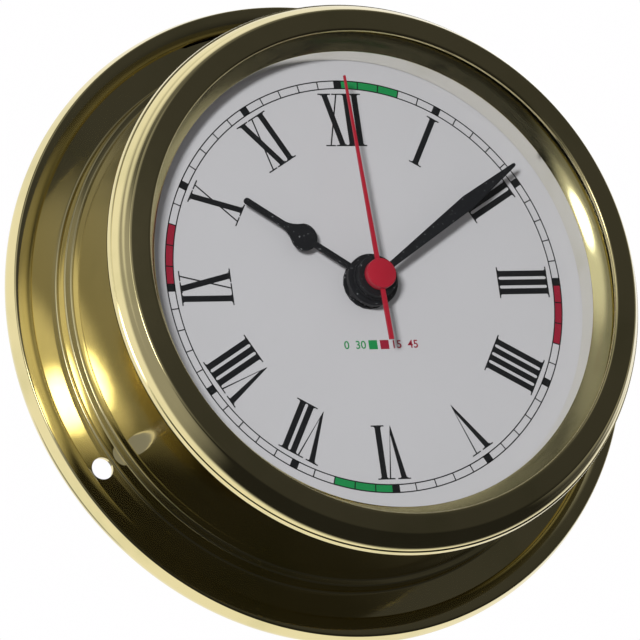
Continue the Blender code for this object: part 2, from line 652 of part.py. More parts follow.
def make_hands(black, red, axes):
    """The three hands, each on its own tube or arbor."""
    make_hand("hour_hand", hour_outline(), HOUR_ANGLE, (HOUR_BOSS_R, HOUR_HAND_REAR, HOUR_HAND_FRONT),
              HOUR_HAND_REAR + HAND_INSET, (HOUR_TUBE_R + SEAT, HOUR_HAND_FRONT + PAST), black, axes["hour"])
    make_hand("minute_hand", minute_outline(), MINUTE_ANGLE,
              (MINUTE_BOSS_R, MINUTE_HAND_REAR, MINUTE_HAND_FRONT), MINUTE_HAND_REAR + HAND_INSET,
              (MINUTE_TUBE_R + SEAT, MINUTE_HAND_FRONT + PAST), black, axes["minute"])
    make_hand("second_hand", second_outline(), SECOND_ANGLE,
              (SECOND_HUB_R, SECOND_HAND_REAR, SECOND_HAND_REAR + SECOND_HUB),
              SECOND_HAND_REAR + SECOND_BLADE_INSET, (ARBOR_R + SEAT, SECOND_HAND_REAR + SECOND_BORE), red,
              axes["second"])


def make_fixings(rubber, black):
    """Rubber washer behind the dial, blackened washer and hexagon nut in front of it."""
    tube("rubber_washer", BUSH_CLEARANCE_R, RUBBER_WASHER_R, RUBBER_REAR, RUBBER_FRONT, rubber)
    tube("flat_washer", BUSH_CLEARANCE_R, FLAT_WASHER_R, FLAT_WASHER_REAR,
         FLAT_WASHER_REAR + FLAT_WASHER, black)
    corners = [at_clock_angle(NUT_FLATS / math.sqrt(3), 60.0 * corner) for corner in range(6)]
    nut = extruded("hex_nut", corners, NUT_REAR, NUT_REAR + NUT, black)
    cut(nut, rod("nut_bore", BUSH_CLEARANCE_R, NUT_REAR - PAST, NUT_REAR + NUT + PAST, black, ROUND_SMALL))


def make_tray(plastic):
    """Front half of the movement case: bush, train room with its pillars, and battery bay."""
    tray = block("movement_tray", -MOVEMENT_HALF, MOVEMENT_HALF, MOVEMENT_BOTTOM, MOVEMENT_TOP, LID_REAR,
                 TRAY_FRONT, plastic)
    lid_seat = block("lid_seat", -MOVEMENT_HALF - PAST, MOVEMENT_HALF + PAST, TRAIN_ROOM_BOTTOM,
                     MOVEMENT_TOP + PAST, LID_REAR - PAST, TRAY_REAR, plastic)
    room = block("train_room", -BAY_HALF, BAY_HALF, TRAIN_ROOM_BOTTOM, MOVEMENT_TOP - MOVEMENT_WALL,
                 LID_REAR - PAST, TRAY_INNER, plastic)
    bay = block("battery_bay", -BAY_HALF, BAY_HALF, BAY_BOTTOM, BAY_TOP, LID_REAR - PAST, TRAY_INNER,
                plastic)
    cut(tray, lid_seat, room, bay)
    base = TRAY_INNER + WELD
    fuse(tray, rod("bush", BUSH_R, base, BUSH_FRONT, plastic, ROUND_SMALL))
    peg_rear = TRAIN_PLATE_REAR - SEAT
    shoulder = TRAIN_PLATE_FRONT + SEAT
    profile = [(0.0, peg_rear), (PILLAR_PEG_R, peg_rear), (PILLAR_PEG_R, shoulder), (PILLAR_R, shoulder)]
    profile += [(PILLAR_R, base), (0.0, base)]
    for number, place in enumerate(PILLARS):
        fuse(tray, turned(f"pillar_{number + 1}", profile, plastic, ROUND_PIN, centre=place))
    posts = [(LEG_LEFT + STATOR_LEG / 2, ROTOR_AT[1])]
    corner = STATOR_REACH - PILLAR_PEG_R
    posts += [(ROTOR_AT[0] + corner, ROTOR_AT[1] + corner)]
    for number, place in enumerate(posts):
        fuse(tray, rod(f"stator_post_{number + 1}", PILLAR_PEG_R, STATOR_FRONT + SEAT, base, plastic,
                       centre=place))
    bore = rod("bush_bore", BUSH_BORE_R, TRAY_INNER - PAST, BUSH_FRONT + PAST, plastic, ROUND_SMALL)
    cut(tray, off_edges(bore, ROUND_SMALL))


def make_lid(plastic):
    """Rear half of the movement case, with side clips, board posts and the setting arbor's hole."""
    lid = block("movement_lid", -MOVEMENT_HALF, MOVEMENT_HALF, TRAIN_ROOM_BOTTOM + SEAT, MOVEMENT_TOP,
                LID_REAR, LID_INNER, plastic)
    inner = MOVEMENT_HALF + SEAT
    outer = inner + CLIP
    hook_rear = LID_REAR + CLIP_SET_BACK
    for side in (-1, 1):
        for height in CLIP_HEIGHTS:
            name = f"clip_{'left' if side < 0 else 'right'}_{height:.0f}"
            low = height - CLIP_WIDTH / 2
            arm_x = sorted((side * inner, side * outer))
            root_x = sorted((side * (MOVEMENT_HALF - WELD), side * (inner + CLIP / 2)))
            arm = block(name, *arm_x, low, low + CLIP_WIDTH, hook_rear, hook_rear + CLIP_LENGTH, plastic)
            root = block(f"{name}_root", *root_x, low + CLIP_ROOT_INSET, low + CLIP_WIDTH - CLIP_ROOT_INSET,
                         hook_rear + CLIP_SET_BACK, LID_INNER - CLIP_SET_BACK, plastic)
            fuse(lid, arm, root)
    for number, x in enumerate((BOARD_LEFT + BOARD_POST_INSET, BOARD_RIGHT - BOARD_POST_INSET)):
        fuse(lid, rod(f"board_post_{number + 1}", BOARD_POST_R, LID_INNER - WELD, LID_INNER + BOARD_POST,
                      plastic, centre=(x, (BOARD_LOW + BOARD_HIGH) / 2)))
    cut(lid, rod("knob_hole", MOTION_ARBOR_R + RUN, LID_REAR - PAST, LID_INNER + PAST, plastic, ROUND_SMALL,
                 centre=MOTION_AT))


def make_train_plate(plastic):
    """Plate on the pillars, with a bearing hole for each arbor that it steadies."""
    right = PILLAR_X + TRAIN_PLATE_EDGE
    low = PILLAR_LOW - TRAIN_PLATE_EDGE
    high = PILLAR_HIGH + TRAIN_PLATE_EDGE
    tab_left = ROTOR_AT[0] - TRAIN_PLATE_EDGE
    tab_right = ROTOR_AT[0] + TRAIN_PLATE_EDGE
    tab_high = ROTOR_AT[1] + TRAIN_PLATE_EDGE
    outline = [(-right, low), (right, low), (right, high), (tab_right, high), (tab_right, tab_high)]
    outline += [(tab_left, tab_high), (tab_left, high), (-right, high)]
    plate = extruded("train_plate", outline, TRAIN_PLATE_REAR, TRAIN_PLATE_FRONT, plastic)
    holes = [(place, ARBOR_R) for place in (CENTRE_AT, INTERMEDIATE_AT, ROTOR_AT, THIRD_AT)]
    holes += [(MOTION_AT, MOTION_ARBOR_R)] + [(place, PILLAR_PEG_R) for place in PILLARS]
    for number, (place, radius) in enumerate(holes):
        cut(plate, rod(f"plate_hole_{number + 1}", radius + RUN, TRAIN_PLATE_REAR - PAST,
                       TRAIN_PLATE_FRONT + PAST, plastic, centre=place))


def gear_outline(teeth, module, first_tooth):
    """Outline of a wheel whose teeth are slim enough to run with backlash.

    first_tooth is the clock angle of one tooth's middle.
    """
    tip_r = (teeth / 2 + ADDENDUM) * module
    root_r = (teeth / 2 - DEDENDUM) * module
    pitch = 360.0 / teeth
    outline = []
    for tooth in range(teeth):
        middle = first_tooth + tooth * pitch
        outline.append(at_clock_angle(root_r, middle - pitch * TOOTH_ROOT / 2))
        outline.append(at_clock_angle(tip_r, middle - pitch * TOOTH_TIP / 2))
        outline.append(at_clock_angle(tip_r, middle + pitch * TOOTH_TIP / 2))
        outline.append(at_clock_angle(root_r, middle + pitch * TOOTH_ROOT / 2))
    return outline


def gap_at(bearing, teeth):
    """First tooth of a wheel that shows a gap towards a bearing."""
    return bearing + 180.0 / teeth


def make_wheel(name, wheel, pinion, arbor, material, axis):
    """Wheel and pinion on one arbor.

    wheel and pinion are (teeth, module, first tooth, rear depth); arbor is (radius, rear, front).
    """
    teeth, module, first_tooth, rear = wheel
    body = extruded(name, gear_outline(teeth, module, first_tooth), rear, rear + WHEEL, material, axis)
    teeth, module, first_tooth, rear = pinion
    leaves = extruded(f"{name}_pinion", gear_outline(teeth, module, first_tooth), rear, rear + PINION,
                      material, axis)
    fuse(body, rod(f"{name}_arbor", *arbor, material, parent=axis), leaves)


def make_train(brass, axes):
    """Intermediate, seconds, third and centre wheels, which run from the rotor."""
    make_wheel("seconds_wheel",
               (SECONDS_TEETH, TRAIN_MODULE, INTERMEDIATE_BEARING, SECONDS_REAR),
               (SECONDS_PINION_TEETH, TRAIN_MODULE, THIRD_BEARING, THIRD_REAR - PINION_OVER),
               (ARBOR_R, ARBOR_REAR, SECOND_HAND_REAR + SECOND_BORE - SEAT), brass, axes["second"])
    make_wheel("intermediate_wheel",
               (INTERMEDIATE_TEETH, TRAIN_MODULE, ROTOR_BEARING, INTERMEDIATE_REAR),
               (INTERMEDIATE_PINION_TEETH, TRAIN_MODULE,
                gap_at(INTERMEDIATE_BEARING + 180, INTERMEDIATE_PINION_TEETH), SECONDS_REAR - PINION_OVER),
               (ARBOR_R, ARBOR_REAR, TRAIN_PLATE_FRONT), brass, axes["intermediate"])
    make_wheel("third_wheel",
               (THIRD_TEETH, TRAIN_MODULE, gap_at(THIRD_BEARING + 180, THIRD_TEETH), THIRD_REAR),
               (THIRD_PINION_TEETH, CENTRE_MODULE, THIRD_BEARING + 180, CENTRE_REAR - PINION_OVER),
               (ARBOR_R, ARBOR_REAR, ARBOR_FRONT), brass, axes["third"])
    outline = gear_outline(CENTRE_TEETH, CENTRE_MODULE, gap_at(THIRD_BEARING, CENTRE_TEETH))
    centre = extruded("centre_wheel", outline, CENTRE_REAR, CENTRE_REAR + WHEEL, brass, axes["centre"])
    fuse(centre, rod("centre_hub", CENTRE_HUB_R, CENTRE_REAR - CENTRE_HUB, CENTRE_REAR + WELD, brass,
                     parent=axes["centre"]))
    cut(centre, rod("centre_bore", MINUTE_BORE_R, CENTRE_REAR - CENTRE_HUB - PAST, CENTRE_REAR + WHEEL + PAST,
                    brass, parent=axes["centre"]))


def make_motion_work(brass, plastic, steel, axes):
    """Clutch washer, minute tube, motion wheel and hour wheel, which carry the hands."""
    tube("clutch_washer", MINUTE_BORE_R, CLUTCH_WASHER_R, CLUTCH_REAR, CLUTCH_REAR + CLUTCH_WASHER, steel,
         ROUND_SMALL, axes["minute"])
    minute = extruded("minute_tube", gear_outline(CANNON_TEETH, MOTION_MODULE, MOTION_BEARING), CANNON_REAR,
                      CANNON_FRONT, brass, axes["minute"])
    fuse(minute, rod("minute_stem", MINUTE_TUBE_R, MINUTE_TUBE_REAR, MINUTE_HAND_FRONT - SEAT, brass,
                     ROUND_TUBE, axes["minute"]))
    bore = rod("minute_bore", MINUTE_BORE_R, MINUTE_TUBE_REAR - PAST, MINUTE_HAND_FRONT + PAST, brass,
               parent=axes["minute"])
    cut(minute, off_edges(bore, ROUND_TUBE))
    outline = gear_outline(HOUR_TEETH, HOUR_MODULE, gap_at(MOTION_BEARING, HOUR_TEETH))
    hour = extruded("hour_wheel", outline, HOUR_WHEEL_REAR, HOUR_WHEEL_REAR + WHEEL, plastic, axes["hour"])
    fuse(hour, rod("hour_stem", HOUR_TUBE_R, HOUR_WHEEL_REAR + WHEEL - WELD, HOUR_HAND_FRONT - SEAT, plastic,
                   ROUND_TUBE, axes["hour"]))
    bore = rod("hour_bore", HOUR_BORE_R, HOUR_WHEEL_REAR - PAST, HOUR_HAND_FRONT + PAST, plastic, ROUND_TUBE,
               axes["hour"])
    cut(hour, off_edges(bore, ROUND_TUBE))
    make_wheel("motion_wheel",
               (MOTION_TEETH, MOTION_MODULE, gap_at(MOTION_BEARING + 180, MOTION_TEETH), MOTION_WHEEL_REAR),
               (MOTION_PINION_TEETH, HOUR_MODULE, MOTION_BEARING + 180, ARBOR_FRONT - PINION),
               (MOTION_ARBOR_R, KNOB_FRONT - KNOB_BORE + SEAT, ARBOR_FRONT), plastic, axes["motion"])
    outline = []
    pitch = 360.0 / KNOB_FLUTES
    for rib in range(KNOB_FLUTES):
        outline.append(at_clock_angle(KNOB_R, (rib - KNOB_RIB / 2) * pitch))
        outline.append(at_clock_angle(KNOB_R, (rib + KNOB_RIB / 2) * pitch))
        outline.append(at_clock_angle(KNOB_R - KNOB_FLUTE, (rib + KNOB_VALLEY) * pitch))
    knob = extruded("set_knob", outline, KNOB_REAR, KNOB_FRONT, plastic, axes["motion"])
    cut(knob, rod("knob_bore", MOTION_ARBOR_R + SEAT, KNOB_FRONT - KNOB_BORE, KNOB_FRONT + PAST, plastic,
                  parent=axes["motion"]))


def make_motor(steel, copper, axes):
    """Magnet rotor, the stator plate round it, and the coil on its core."""
    rotor = rod("rotor", MAGNET_R, MAGNET_REAR, MAGNET_REAR + MAGNET, steel, ROUND_SMALL, axes["rotor"])
    arbor = rod("rotor_arbor", ARBOR_R, ARBOR_REAR, TRAIN_PLATE_FRONT, steel, parent=axes["rotor"])
    outline = gear_outline(ROTOR_PINION_TEETH, TRAIN_MODULE, gap_at(ROTOR_BEARING + 180, ROTOR_PINION_TEETH))
    pinion_rear = INTERMEDIATE_REAR - PINION_OVER
    pinion = extruded("rotor_pinion", outline, pinion_rear, pinion_rear + PINION, steel, axes["rotor"])
    fuse(rotor, off_edges(arbor, ROUND_SMALL), pinion)

    rotor_x, rotor_z = ROTOR_AT
    ring_left = rotor_x - STATOR_REACH
    ring_high = rotor_z + STATOR_REACH
    bar_low = rotor_z - STATOR_BAR / 2
    bar_high = rotor_z + STATOR_BAR / 2
    top = CORE_HEIGHT + CORE_WIDTH / 2 + SEAT
    outline = [(LEG_LEFT, bar_low), (ring_left, bar_low), (ring_left, rotor_z - STATOR_REACH)]
    outline += [(rotor_x + STATOR_REACH, rotor_z - STATOR_REACH), (rotor_x + STATOR_REACH, ring_high)]
    outline += [(rotor_x, ring_high), (rotor_x, top), (ring_left, top), (ring_left, bar_high)]
    outline += [(LEG_RIGHT, bar_high), (LEG_RIGHT, top), (LEG_LEFT, top)]
    stator = extruded("stator", outline, STATOR_REAR, STATOR_FRONT, steel)
    cut(stator, rod("rotor_hole", MAGNET_R + RUN, STATOR_REAR - PAST, STATOR_FRONT + PAST, steel, ROUND_SMALL,
                    centre=ROTOR_AT))
    core_low = CORE_HEIGHT - CORE_WIDTH / 2
    core_high = CORE_HEIGHT + CORE_WIDTH / 2
    block("coil_core", LEG_LEFT, rotor_x, core_low, core_high, CORE_REAR, CORE_REAR + CORE, steel)
    coil = lying_rod("coil", COIL_R, COIL_LEFT, COIL_RIGHT, CORE_HEIGHT, COIL_DEPTH, copper)
    for number, start in enumerate((COIL_LEFT, COIL_RIGHT - COIL_FLANGE)):
        fuse(coil, lying_rod(f"coil_flange_{number + 1}", COIL_FLANGE_R, start, start + COIL_FLANGE,
                             CORE_HEIGHT, COIL_DEPTH, copper))
    cut(coil, block("coil_bore", COIL_LEFT - PAST, COIL_RIGHT + PAST, core_low - SEAT, core_high + SEAT,
                    CORE_REAR - SEAT, CORE_REAR + CORE + SEAT, copper))


def make_electronics(board_green, steel, black):
    """Circuit board with its crystal can and driver chip."""
    middle = (BOARD_LOW + BOARD_HIGH) / 2
    block("circuit_board", BOARD_LEFT, BOARD_RIGHT, BOARD_LOW, BOARD_HIGH, BOARD_REAR, BOARD_FRONT,
          board_green)
    front = BOARD_FRONT + SEAT
    crystal_left = BOARD_LEFT + BOARD_POST_INSET
    lying_rod("quartz_crystal", CRYSTAL_R, crystal_left, crystal_left + CRYSTAL_LENGTH, middle,
              front + CRYSTAL_R, steel, ROUND_SCREW)
    profile = [(0.0, front), (CHIP_R, front), (CHIP_TOP_R, front + CHIP), (0.0, front + CHIP)]
    turned("driver_chip", profile, black, ROUND_TUBE, centre=(BOARD_RIGHT - CHIP_INSET, middle))


def make_battery(shell, steel):
    """AA cell in its bay, with the two contact leaves at the bay's ends."""
    body_right = CELL_RIGHT - CELL_NIPPLE
    cell = lying_rod("battery", CELL_R, CELL_LEFT, body_right, CELL_HEIGHT, CELL_DEPTH, shell)
    fuse(cell, lying_rod("battery_nipple", CELL_NIPPLE_R, body_right - WELD, CELL_RIGHT, CELL_HEIGHT,
                         CELL_DEPTH, shell, ROUND_TUBE))
    low = CELL_HEIGHT - CONTACT_WIDTH / 2
    high = CELL_HEIGHT + CONTACT_WIDTH / 2
    rear = CELL_DEPTH - CONTACT_WIDTH / 2
    front = TRAY_INNER - SEAT
    outer = BAY_HALF - SEAT
    block("positive_contact", outer - CONTACT, outer, low, high, rear, front, steel)
    negative = block("negative_contact", -outer, CONTACT - outer, low, high, rear, front, steel)
    fuse(negative, lying_rod("contact_spring", CONTACT_SPRING_R, CONTACT / 2 - outer, CELL_LEFT - SEAT,
                             CELL_HEIGHT, CELL_DEPTH, steel, ROUND_SCREW))


def main():
    """Build the clock."""
    clear_scene()
    polished = make_material("polished_brass", (0.62, 0.50, 0.22), 0.12, 1.0)
    brass = make_material("turned_brass", (0.66, 0.54, 0.28), 0.3, 1.0)
    dial_white = make_material("dial_paint", (0.80, 0.79, 0.80), 0.5)
    glass = make_material("clear_glass", (0.95, 0.97, 0.96), 0.02, 0.0, 0.25)
    black = make_material("hand_black", (0.015, 0.015, 0.018), 0.5)
    red = make_material("hand_red", (0.50, 0.02, 0.04), 0.45)
    rubber = make_material("black_rubber", (0.02, 0.02, 0.02), 0.8)
    plastic = make_material("movement_plastic", (0.03, 0.03, 0.035), 0.45)
    white_plastic = make_material("wheel_plastic", (0.85, 0.85, 0.82), 0.45)
    steel = make_material("plated_steel", (0.60, 0.60, 0.62), 0.3, 1.0)
    copper = make_material("coil_copper", (0.60, 0.25, 0.10), 0.4, 1.0)
    board_green = make_material("board_green", (0.02, 0.16, 0.07), 0.5)
    shell = make_material("battery_shell", (0.30, 0.31, 0.33), 0.35, 0.6)

    places = {"second": CENTRE_AT, "minute": CENTRE_AT, "hour": CENTRE_AT, "centre": CENTRE_AT}
    places.update({"motion": MOTION_AT, "intermediate": INTERMEDIATE_AT})
    places.update({"rotor": ROTOR_AT, "third": THIRD_AT})
    axes = {name: make_axis(f"{name}_axis", place) for name, place in places.items()}
    travel_axis = make_axis("bezel_travel_axis")
    turn_axis = make_axis("bezel_turn_axis", parent=travel_axis)

    make_case(polished)
    make_dial_seat(brass, dial_white, steel)
    make_bezel(polished, turn_axis)
    make_glazing(polished, glass, rubber, turn_axis, travel_axis)
    make_fixings(rubber, black)
    make_hands(black, red, axes)
    make_tray(plastic)
    make_lid(plastic)
    make_train_plate(white_plastic)
    make_train(brass, axes)
    make_motion_work(brass, white_plastic, steel, axes)
    make_motor(steel, copper, axes)
    make_electronics(board_green, steel, black)
    make_battery(shell, steel)


main()
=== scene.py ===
"""The look of a round brass bulkhead clock.

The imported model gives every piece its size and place. This script turns the pieces that show on
finer profiles, prints the dial, dresses each surface and sets the clock in a pale studio.

Lengths are millimetres until a point becomes part of a mesh. A place on the clock is given by its
radius from the arbor, its depth in front of the wall and its clock angle, clockwise from 12.
"""

import json
import logging
import math
from dataclasses import dataclass, field
from enum import Enum

import bmesh
import bpy
from mathutils import Matrix, Vector

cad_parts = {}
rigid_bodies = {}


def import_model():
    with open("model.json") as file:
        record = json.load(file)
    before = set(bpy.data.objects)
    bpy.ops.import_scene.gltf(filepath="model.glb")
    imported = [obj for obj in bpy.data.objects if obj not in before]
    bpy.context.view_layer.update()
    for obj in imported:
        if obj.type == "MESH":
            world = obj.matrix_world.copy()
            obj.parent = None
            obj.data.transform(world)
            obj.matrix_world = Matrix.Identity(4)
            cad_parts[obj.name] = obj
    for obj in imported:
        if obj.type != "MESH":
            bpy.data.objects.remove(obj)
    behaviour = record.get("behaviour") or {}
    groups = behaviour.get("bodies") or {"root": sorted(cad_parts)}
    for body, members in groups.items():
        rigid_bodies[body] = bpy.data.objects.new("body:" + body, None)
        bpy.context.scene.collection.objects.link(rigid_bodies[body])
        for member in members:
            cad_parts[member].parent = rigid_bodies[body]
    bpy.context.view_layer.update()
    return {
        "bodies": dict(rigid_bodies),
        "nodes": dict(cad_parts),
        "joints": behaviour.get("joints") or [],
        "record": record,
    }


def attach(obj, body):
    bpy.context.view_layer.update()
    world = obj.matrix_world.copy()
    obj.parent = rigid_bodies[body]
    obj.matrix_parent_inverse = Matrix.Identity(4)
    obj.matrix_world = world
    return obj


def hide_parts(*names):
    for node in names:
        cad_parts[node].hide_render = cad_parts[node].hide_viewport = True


MM = 0.001
TURNED_STEPS = 288        # faces round the brass pieces
DISC_STEPS = 192          # faces round the glass and the dial
CREASE = 30.0             # angle in degrees above which an edge stays sharp
BRASS_CREASE = 38.0       # the same for the bezel's pieces
INK_REAR = 30.19          # depths of the dial's printing, its rear just under the paint
INK_FRONT = 30.215
ON_AXIS = 1e-6            # radius in millimetres below which a point lies on the arbor
WELD = 1e-7               # distance in metres at which two vertices become one
LOG = logging.getLogger("marine_clock")
Colour = tuple[float, float, float]
Place = tuple[float, float, float]
Point = tuple[float, float]
Line = list[Point] | tuple[Point, ...]


def place(radius: float, angle: float, depth: float) -> Vector:
    """Returns the point in metres at a radius, a clock angle in degrees and a depth."""
    turn = math.radians(angle)
    return Vector((radius * math.sin(turn), -depth, radius * math.cos(turn))) * MM


def spread(angle: float, points: Line) -> list[Vector]:
    """Lays points out along a clock angle.

    Args:
        angle: The clock angle in degrees.
        points: The points, as (distance across, distance from the arbor).

    Returns:
        The points in metres, at no depth.
    """
    turn = math.radians(angle)
    out = Vector((math.sin(turn), 0.0, math.cos(turn)))
    across = Vector((math.cos(turn), 0.0, -math.sin(turn)))
    return [(out * v + across * u) * MM for u, v in points]


def hang(name: str, data: bpy.types.ID) -> bpy.types.Object:
    """Makes an object of a mesh, curve, lamp or camera and puts it in the scene.

    Args:
        name: The object's name.
        data: What it shows.

    Returns:
        The object.
    """
    made = bpy.data.objects.new(name, data)
    bpy.context.scene.collection.objects.link(made)
    return made


def settle(carrier: bpy.types.Object, material: bpy.types.Material) -> bpy.types.Mesh:
    """Takes an object's final shape, all in one material, and removes the object.

    Args:
        carrier: A curve, or an object with a modifier.
        material: The material.

    Returns:
        The shape as a plain mesh.
    """
    seen = carrier.evaluated_get(bpy.context.evaluated_depsgraph_get())
    mesh = bpy.data.meshes.new_from_object(seen)
    bpy.data.objects.remove(carrier)
    mesh.materials.clear()
    mesh.materials.append(material)
    return mesh


class Wire:
    """One output of a shader tree that can be used in Python expressions."""

    def __init__(self, graph: "Graph", socket: bpy.types.NodeSocket) -> None:
        """Keeps the tree and the output."""
        self.graph = graph
        self.socket = socket

    def maths(self, operation: str, *values: "Wire | float") -> "Wire":
        """Adds a Math node with its inputs in order and returns its result."""
        inputs = dict(enumerate(values))
        return self.graph.node("ShaderNodeMath", {"operation": operation}, inputs)

    def __add__(self, other: "Wire | float") -> "Wire":
        """Adds two values."""
        return self.maths("ADD", self, other)

    def __radd__(self, other: float) -> "Wire":
        """Adds a value to a number."""
        return self.maths("ADD", other, self)

    def __sub__(self, other: "Wire | float") -> "Wire":
        """Takes a value from this one."""
        return self.maths("SUBTRACT", self, other)

    def __rsub__(self, other: float) -> "Wire":
        """Takes this value from a number."""
        return self.maths("SUBTRACT", other, self)

    def __mul__(self, other: "Wire | float") -> "Wire":
        """Multiplies two values."""
        return self.maths("MULTIPLY", self, other)

    def __rmul__(self, other: float) -> "Wire":
        """Multiplies a number by this value."""
        return self.maths("MULTIPLY", other, self)

    def __pow__(self, other: float) -> "Wire":
        """Raises this value to a power."""
        return self.maths("POWER", self, other)

    def above(self, other: "Wire | float") -> "Wire":
        """Returns 1 where this value is above the other, else 0."""
        return self.maths("GREATER_THAN", self, other)

    def within(self, low: float, high: float) -> "Wire":
        """Returns 1 where this value lies between two numbers, else 0."""
        return self.above(low) * (1.0 - self.above(high))

    def smooth(self, low: float, high: float) -> "Wire":
        """Returns a soft step from 0 at low to 1 at high."""
        inputs = {"Value": self, "From Min": low, "From Max": high}
        return self.graph.node("ShaderNodeMapRange", {"interpolation_type": "SMOOTHSTEP"}, inputs)


class Graph:
    """A node tree that is filled through one method."""

    def __init__(self, tree: bpy.types.NodeTree) -> None:
        """Empties the tree."""
        self.tree = tree
        tree.nodes.clear()

    def node(self, kind: str, settings: dict | None = None, inputs: dict | None = None,
             output: str | int = 0) -> Wire:
        """Adds a node of any kind.

        Args:
            kind: The node's type.
            settings: What is set on the node before its inputs.
            inputs: A value or a link for each input, by name or number.
            output: The output that is wanted, by name or number.

        Returns:
            That output.
        """
        made = self.tree.nodes.new(kind)
        for name, value in (settings or {}).items():
            setattr(made, name, value)
        for name, value in (inputs or {}).items():
            if isinstance(value, Wire):
                self.tree.links.new(value.socket, made.inputs[name])
            elif value is not None:
                made.inputs[name].default_value = value
        return Wire(self, made.outputs[output]) if len(made.outputs) else Wire(self, None)

    def mix(self, factor: "Wire | float", first: "Wire | Colour", second: "Wire | Colour") -> Wire:
        """Mixes two colours.

        Args:
            factor: The share of the second.
            first: A colour.
            second: Another colour.

        Returns:
            The mixed colour.
        """
        ends = [c if isinstance(c, Wire) else (*c, 1.0) for c in (first, second)]
        inputs = {0: factor, 6: ends[0], 7: ends[1]}
        return self.node("ShaderNodeMix", {"data_type": "RGBA"}, inputs, 2)

    def where(self) -> Wire:
        """Returns the surface point in the clock's own frame."""
        return self.node("ShaderNodeTexCoord", output="Object")

    def axes(self) -> tuple[Wire, Wire, Wire]:
        """Returns the surface point's x, y and z in metres."""
        split = self.node("ShaderNodeSeparateXYZ", inputs={0: self.where()})
        return tuple(Wire(self, one) for one in split.socket.node.outputs)

    def noise(self, vector: Wire, scale: float, detail: float = 2.0) -> Wire:
        """Returns a noise value, 0.5 on average, that has so many grains per metre."""
        inputs = {"Vector": vector, "Scale": scale, "Detail": detail}
        return self.node("ShaderNodeTexNoise", inputs=inputs, output="Fac")

    def bump(self, height: Wire, depth: float, below: Wire | None = None) -> Wire:
        """Returns the normal of a height from 0 to 1, where 1 is depth metres, on one below."""
        inputs = {"Height": height, "Distance": depth, "Strength": 1.0, "Normal": below}
        return self.node("ShaderNodeBump", inputs=inputs, output="Normal")


@dataclass(frozen=True)
class Finish:
    """A surface finish with the values that are the same all over it."""

    slot: str
    colour: Colour
    metallic: float = 0.0
    roughness: float = 0.5
    coat: float = 0.0
    coat_roughness: float = 0.1
    specular: float = 0.5

    def material(self, name: str | None = None) -> bpy.types.Material:
        """Builds the finish.

        Args:
            name: The material's name, if it isn't the slot's.

        Returns:
            The new material.
        """
        made = bpy.data.materials.new(name or self.slot)
        made.use_nodes = True
        made.diffuse_color = (*self.colour, 1.0)
        graph = Graph(made.node_tree)
        shader = graph.node("ShaderNodeBsdfPrincipled", inputs={
            "Base Color": (*self.colour, 1.0), "Metallic": self.metallic,
            "Roughness": self.roughness, "Coat Weight": self.coat,
            "Coat Roughness": self.coat_roughness, "Specular IOR Level": self.specular})
        graph.node("ShaderNodeOutputMaterial", inputs={"Surface": shader})
        self.vary(graph, shader.socket.node)
        return made

    def feed(self, shader: bpy.types.Node, **wires: Wire) -> None:
        """Links values that change over the surface to the shader's inputs.

        Args:
            shader: The main shader.
            wires: The values, by the short names of the inputs.
        """
        names = {"colour": "Base Color", "roughness": "Roughness", "normal": "Normal",
                 "metallic": "Metallic"}
        for key, wire in wires.items():
            wire.graph.tree.links.new(wire.socket, shader.inputs[names[key]])

    def vary(self, graph: Graph, shader: bpy.types.Node) -> None:
        """Adds what changes over the surface; a plain finish gets a fine grain."""
        grain = graph.noise(graph.where(), 900.0)
        self.feed(shader, roughness=self.roughness * (0.85 + 0.3 * grain))


@dataclass(frozen=True)
class SpunBrass(Finish):
    """Brass turned or spun about the clock's axis, then polished."""

    wave: float = 0.00004
    wave_grain: float = 26.0
    dent: float = 0.000016
    dent_grain: float = 130.0
    line: float = 0.0000006
    line_grain: float = 5200.0
    film: float = 0.35
    film_grain: float = 60.0
    tarnish: Colour = (0.46, 0.44, 0.19)

    def tint(self, graph: Graph) -> "Wire | Colour":
        """Returns the clean metal's colour."""
        return self.colour

    def vary(self, graph: Graph, shader: bpy.types.Node) -> None:
        """Adds the slow waves of spinning, fine turning lines and a breath of tarnish.

        Args:
            graph: The material's tree.
            shader: Its main shader.
        """
        x, y, z = graph.axes()
        radius = (x * x + z * z) ** 0.5
        point = graph.where()
        across = graph.node("ShaderNodeCombineXYZ", inputs={0: radius, 1: y, 2: x * 0.02})
        lines = graph.noise(across, self.line_grain, 3.0)
        waves = graph.noise(point, self.wave_grain, 1.5)
        film = graph.noise(point, self.film_grain, 4.0).smooth(0.45, 0.8)
        normal = graph.bump(waves, self.wave)
        normal = graph.bump(graph.noise(point, self.dent_grain, 2.0), self.dent, normal)
        normal = graph.bump(lines, self.line, normal)
        self.feed(shader, colour=graph.mix(film * self.film, self.tint(graph), self.tarnish),
                  roughness=self.roughness + 0.05 * film + 0.03 * lines, normal=normal)


@dataclass(frozen=True)
class ReflectorBrass(SpunBrass):
    """Polished brass with a silvered collar behind the slope."""

    silver: Colour = (0.95, 0.93, 0.84)
    edge: float = 0.0361

    def tint(self, graph: Graph) -> "Wire | Colour":
        """Returns silver up to the collar's front edge and brass in front of it."""
        _, y, _ = graph.axes()
        return graph.mix((0.0 - y).above(self.edge), self.silver, self.colour)


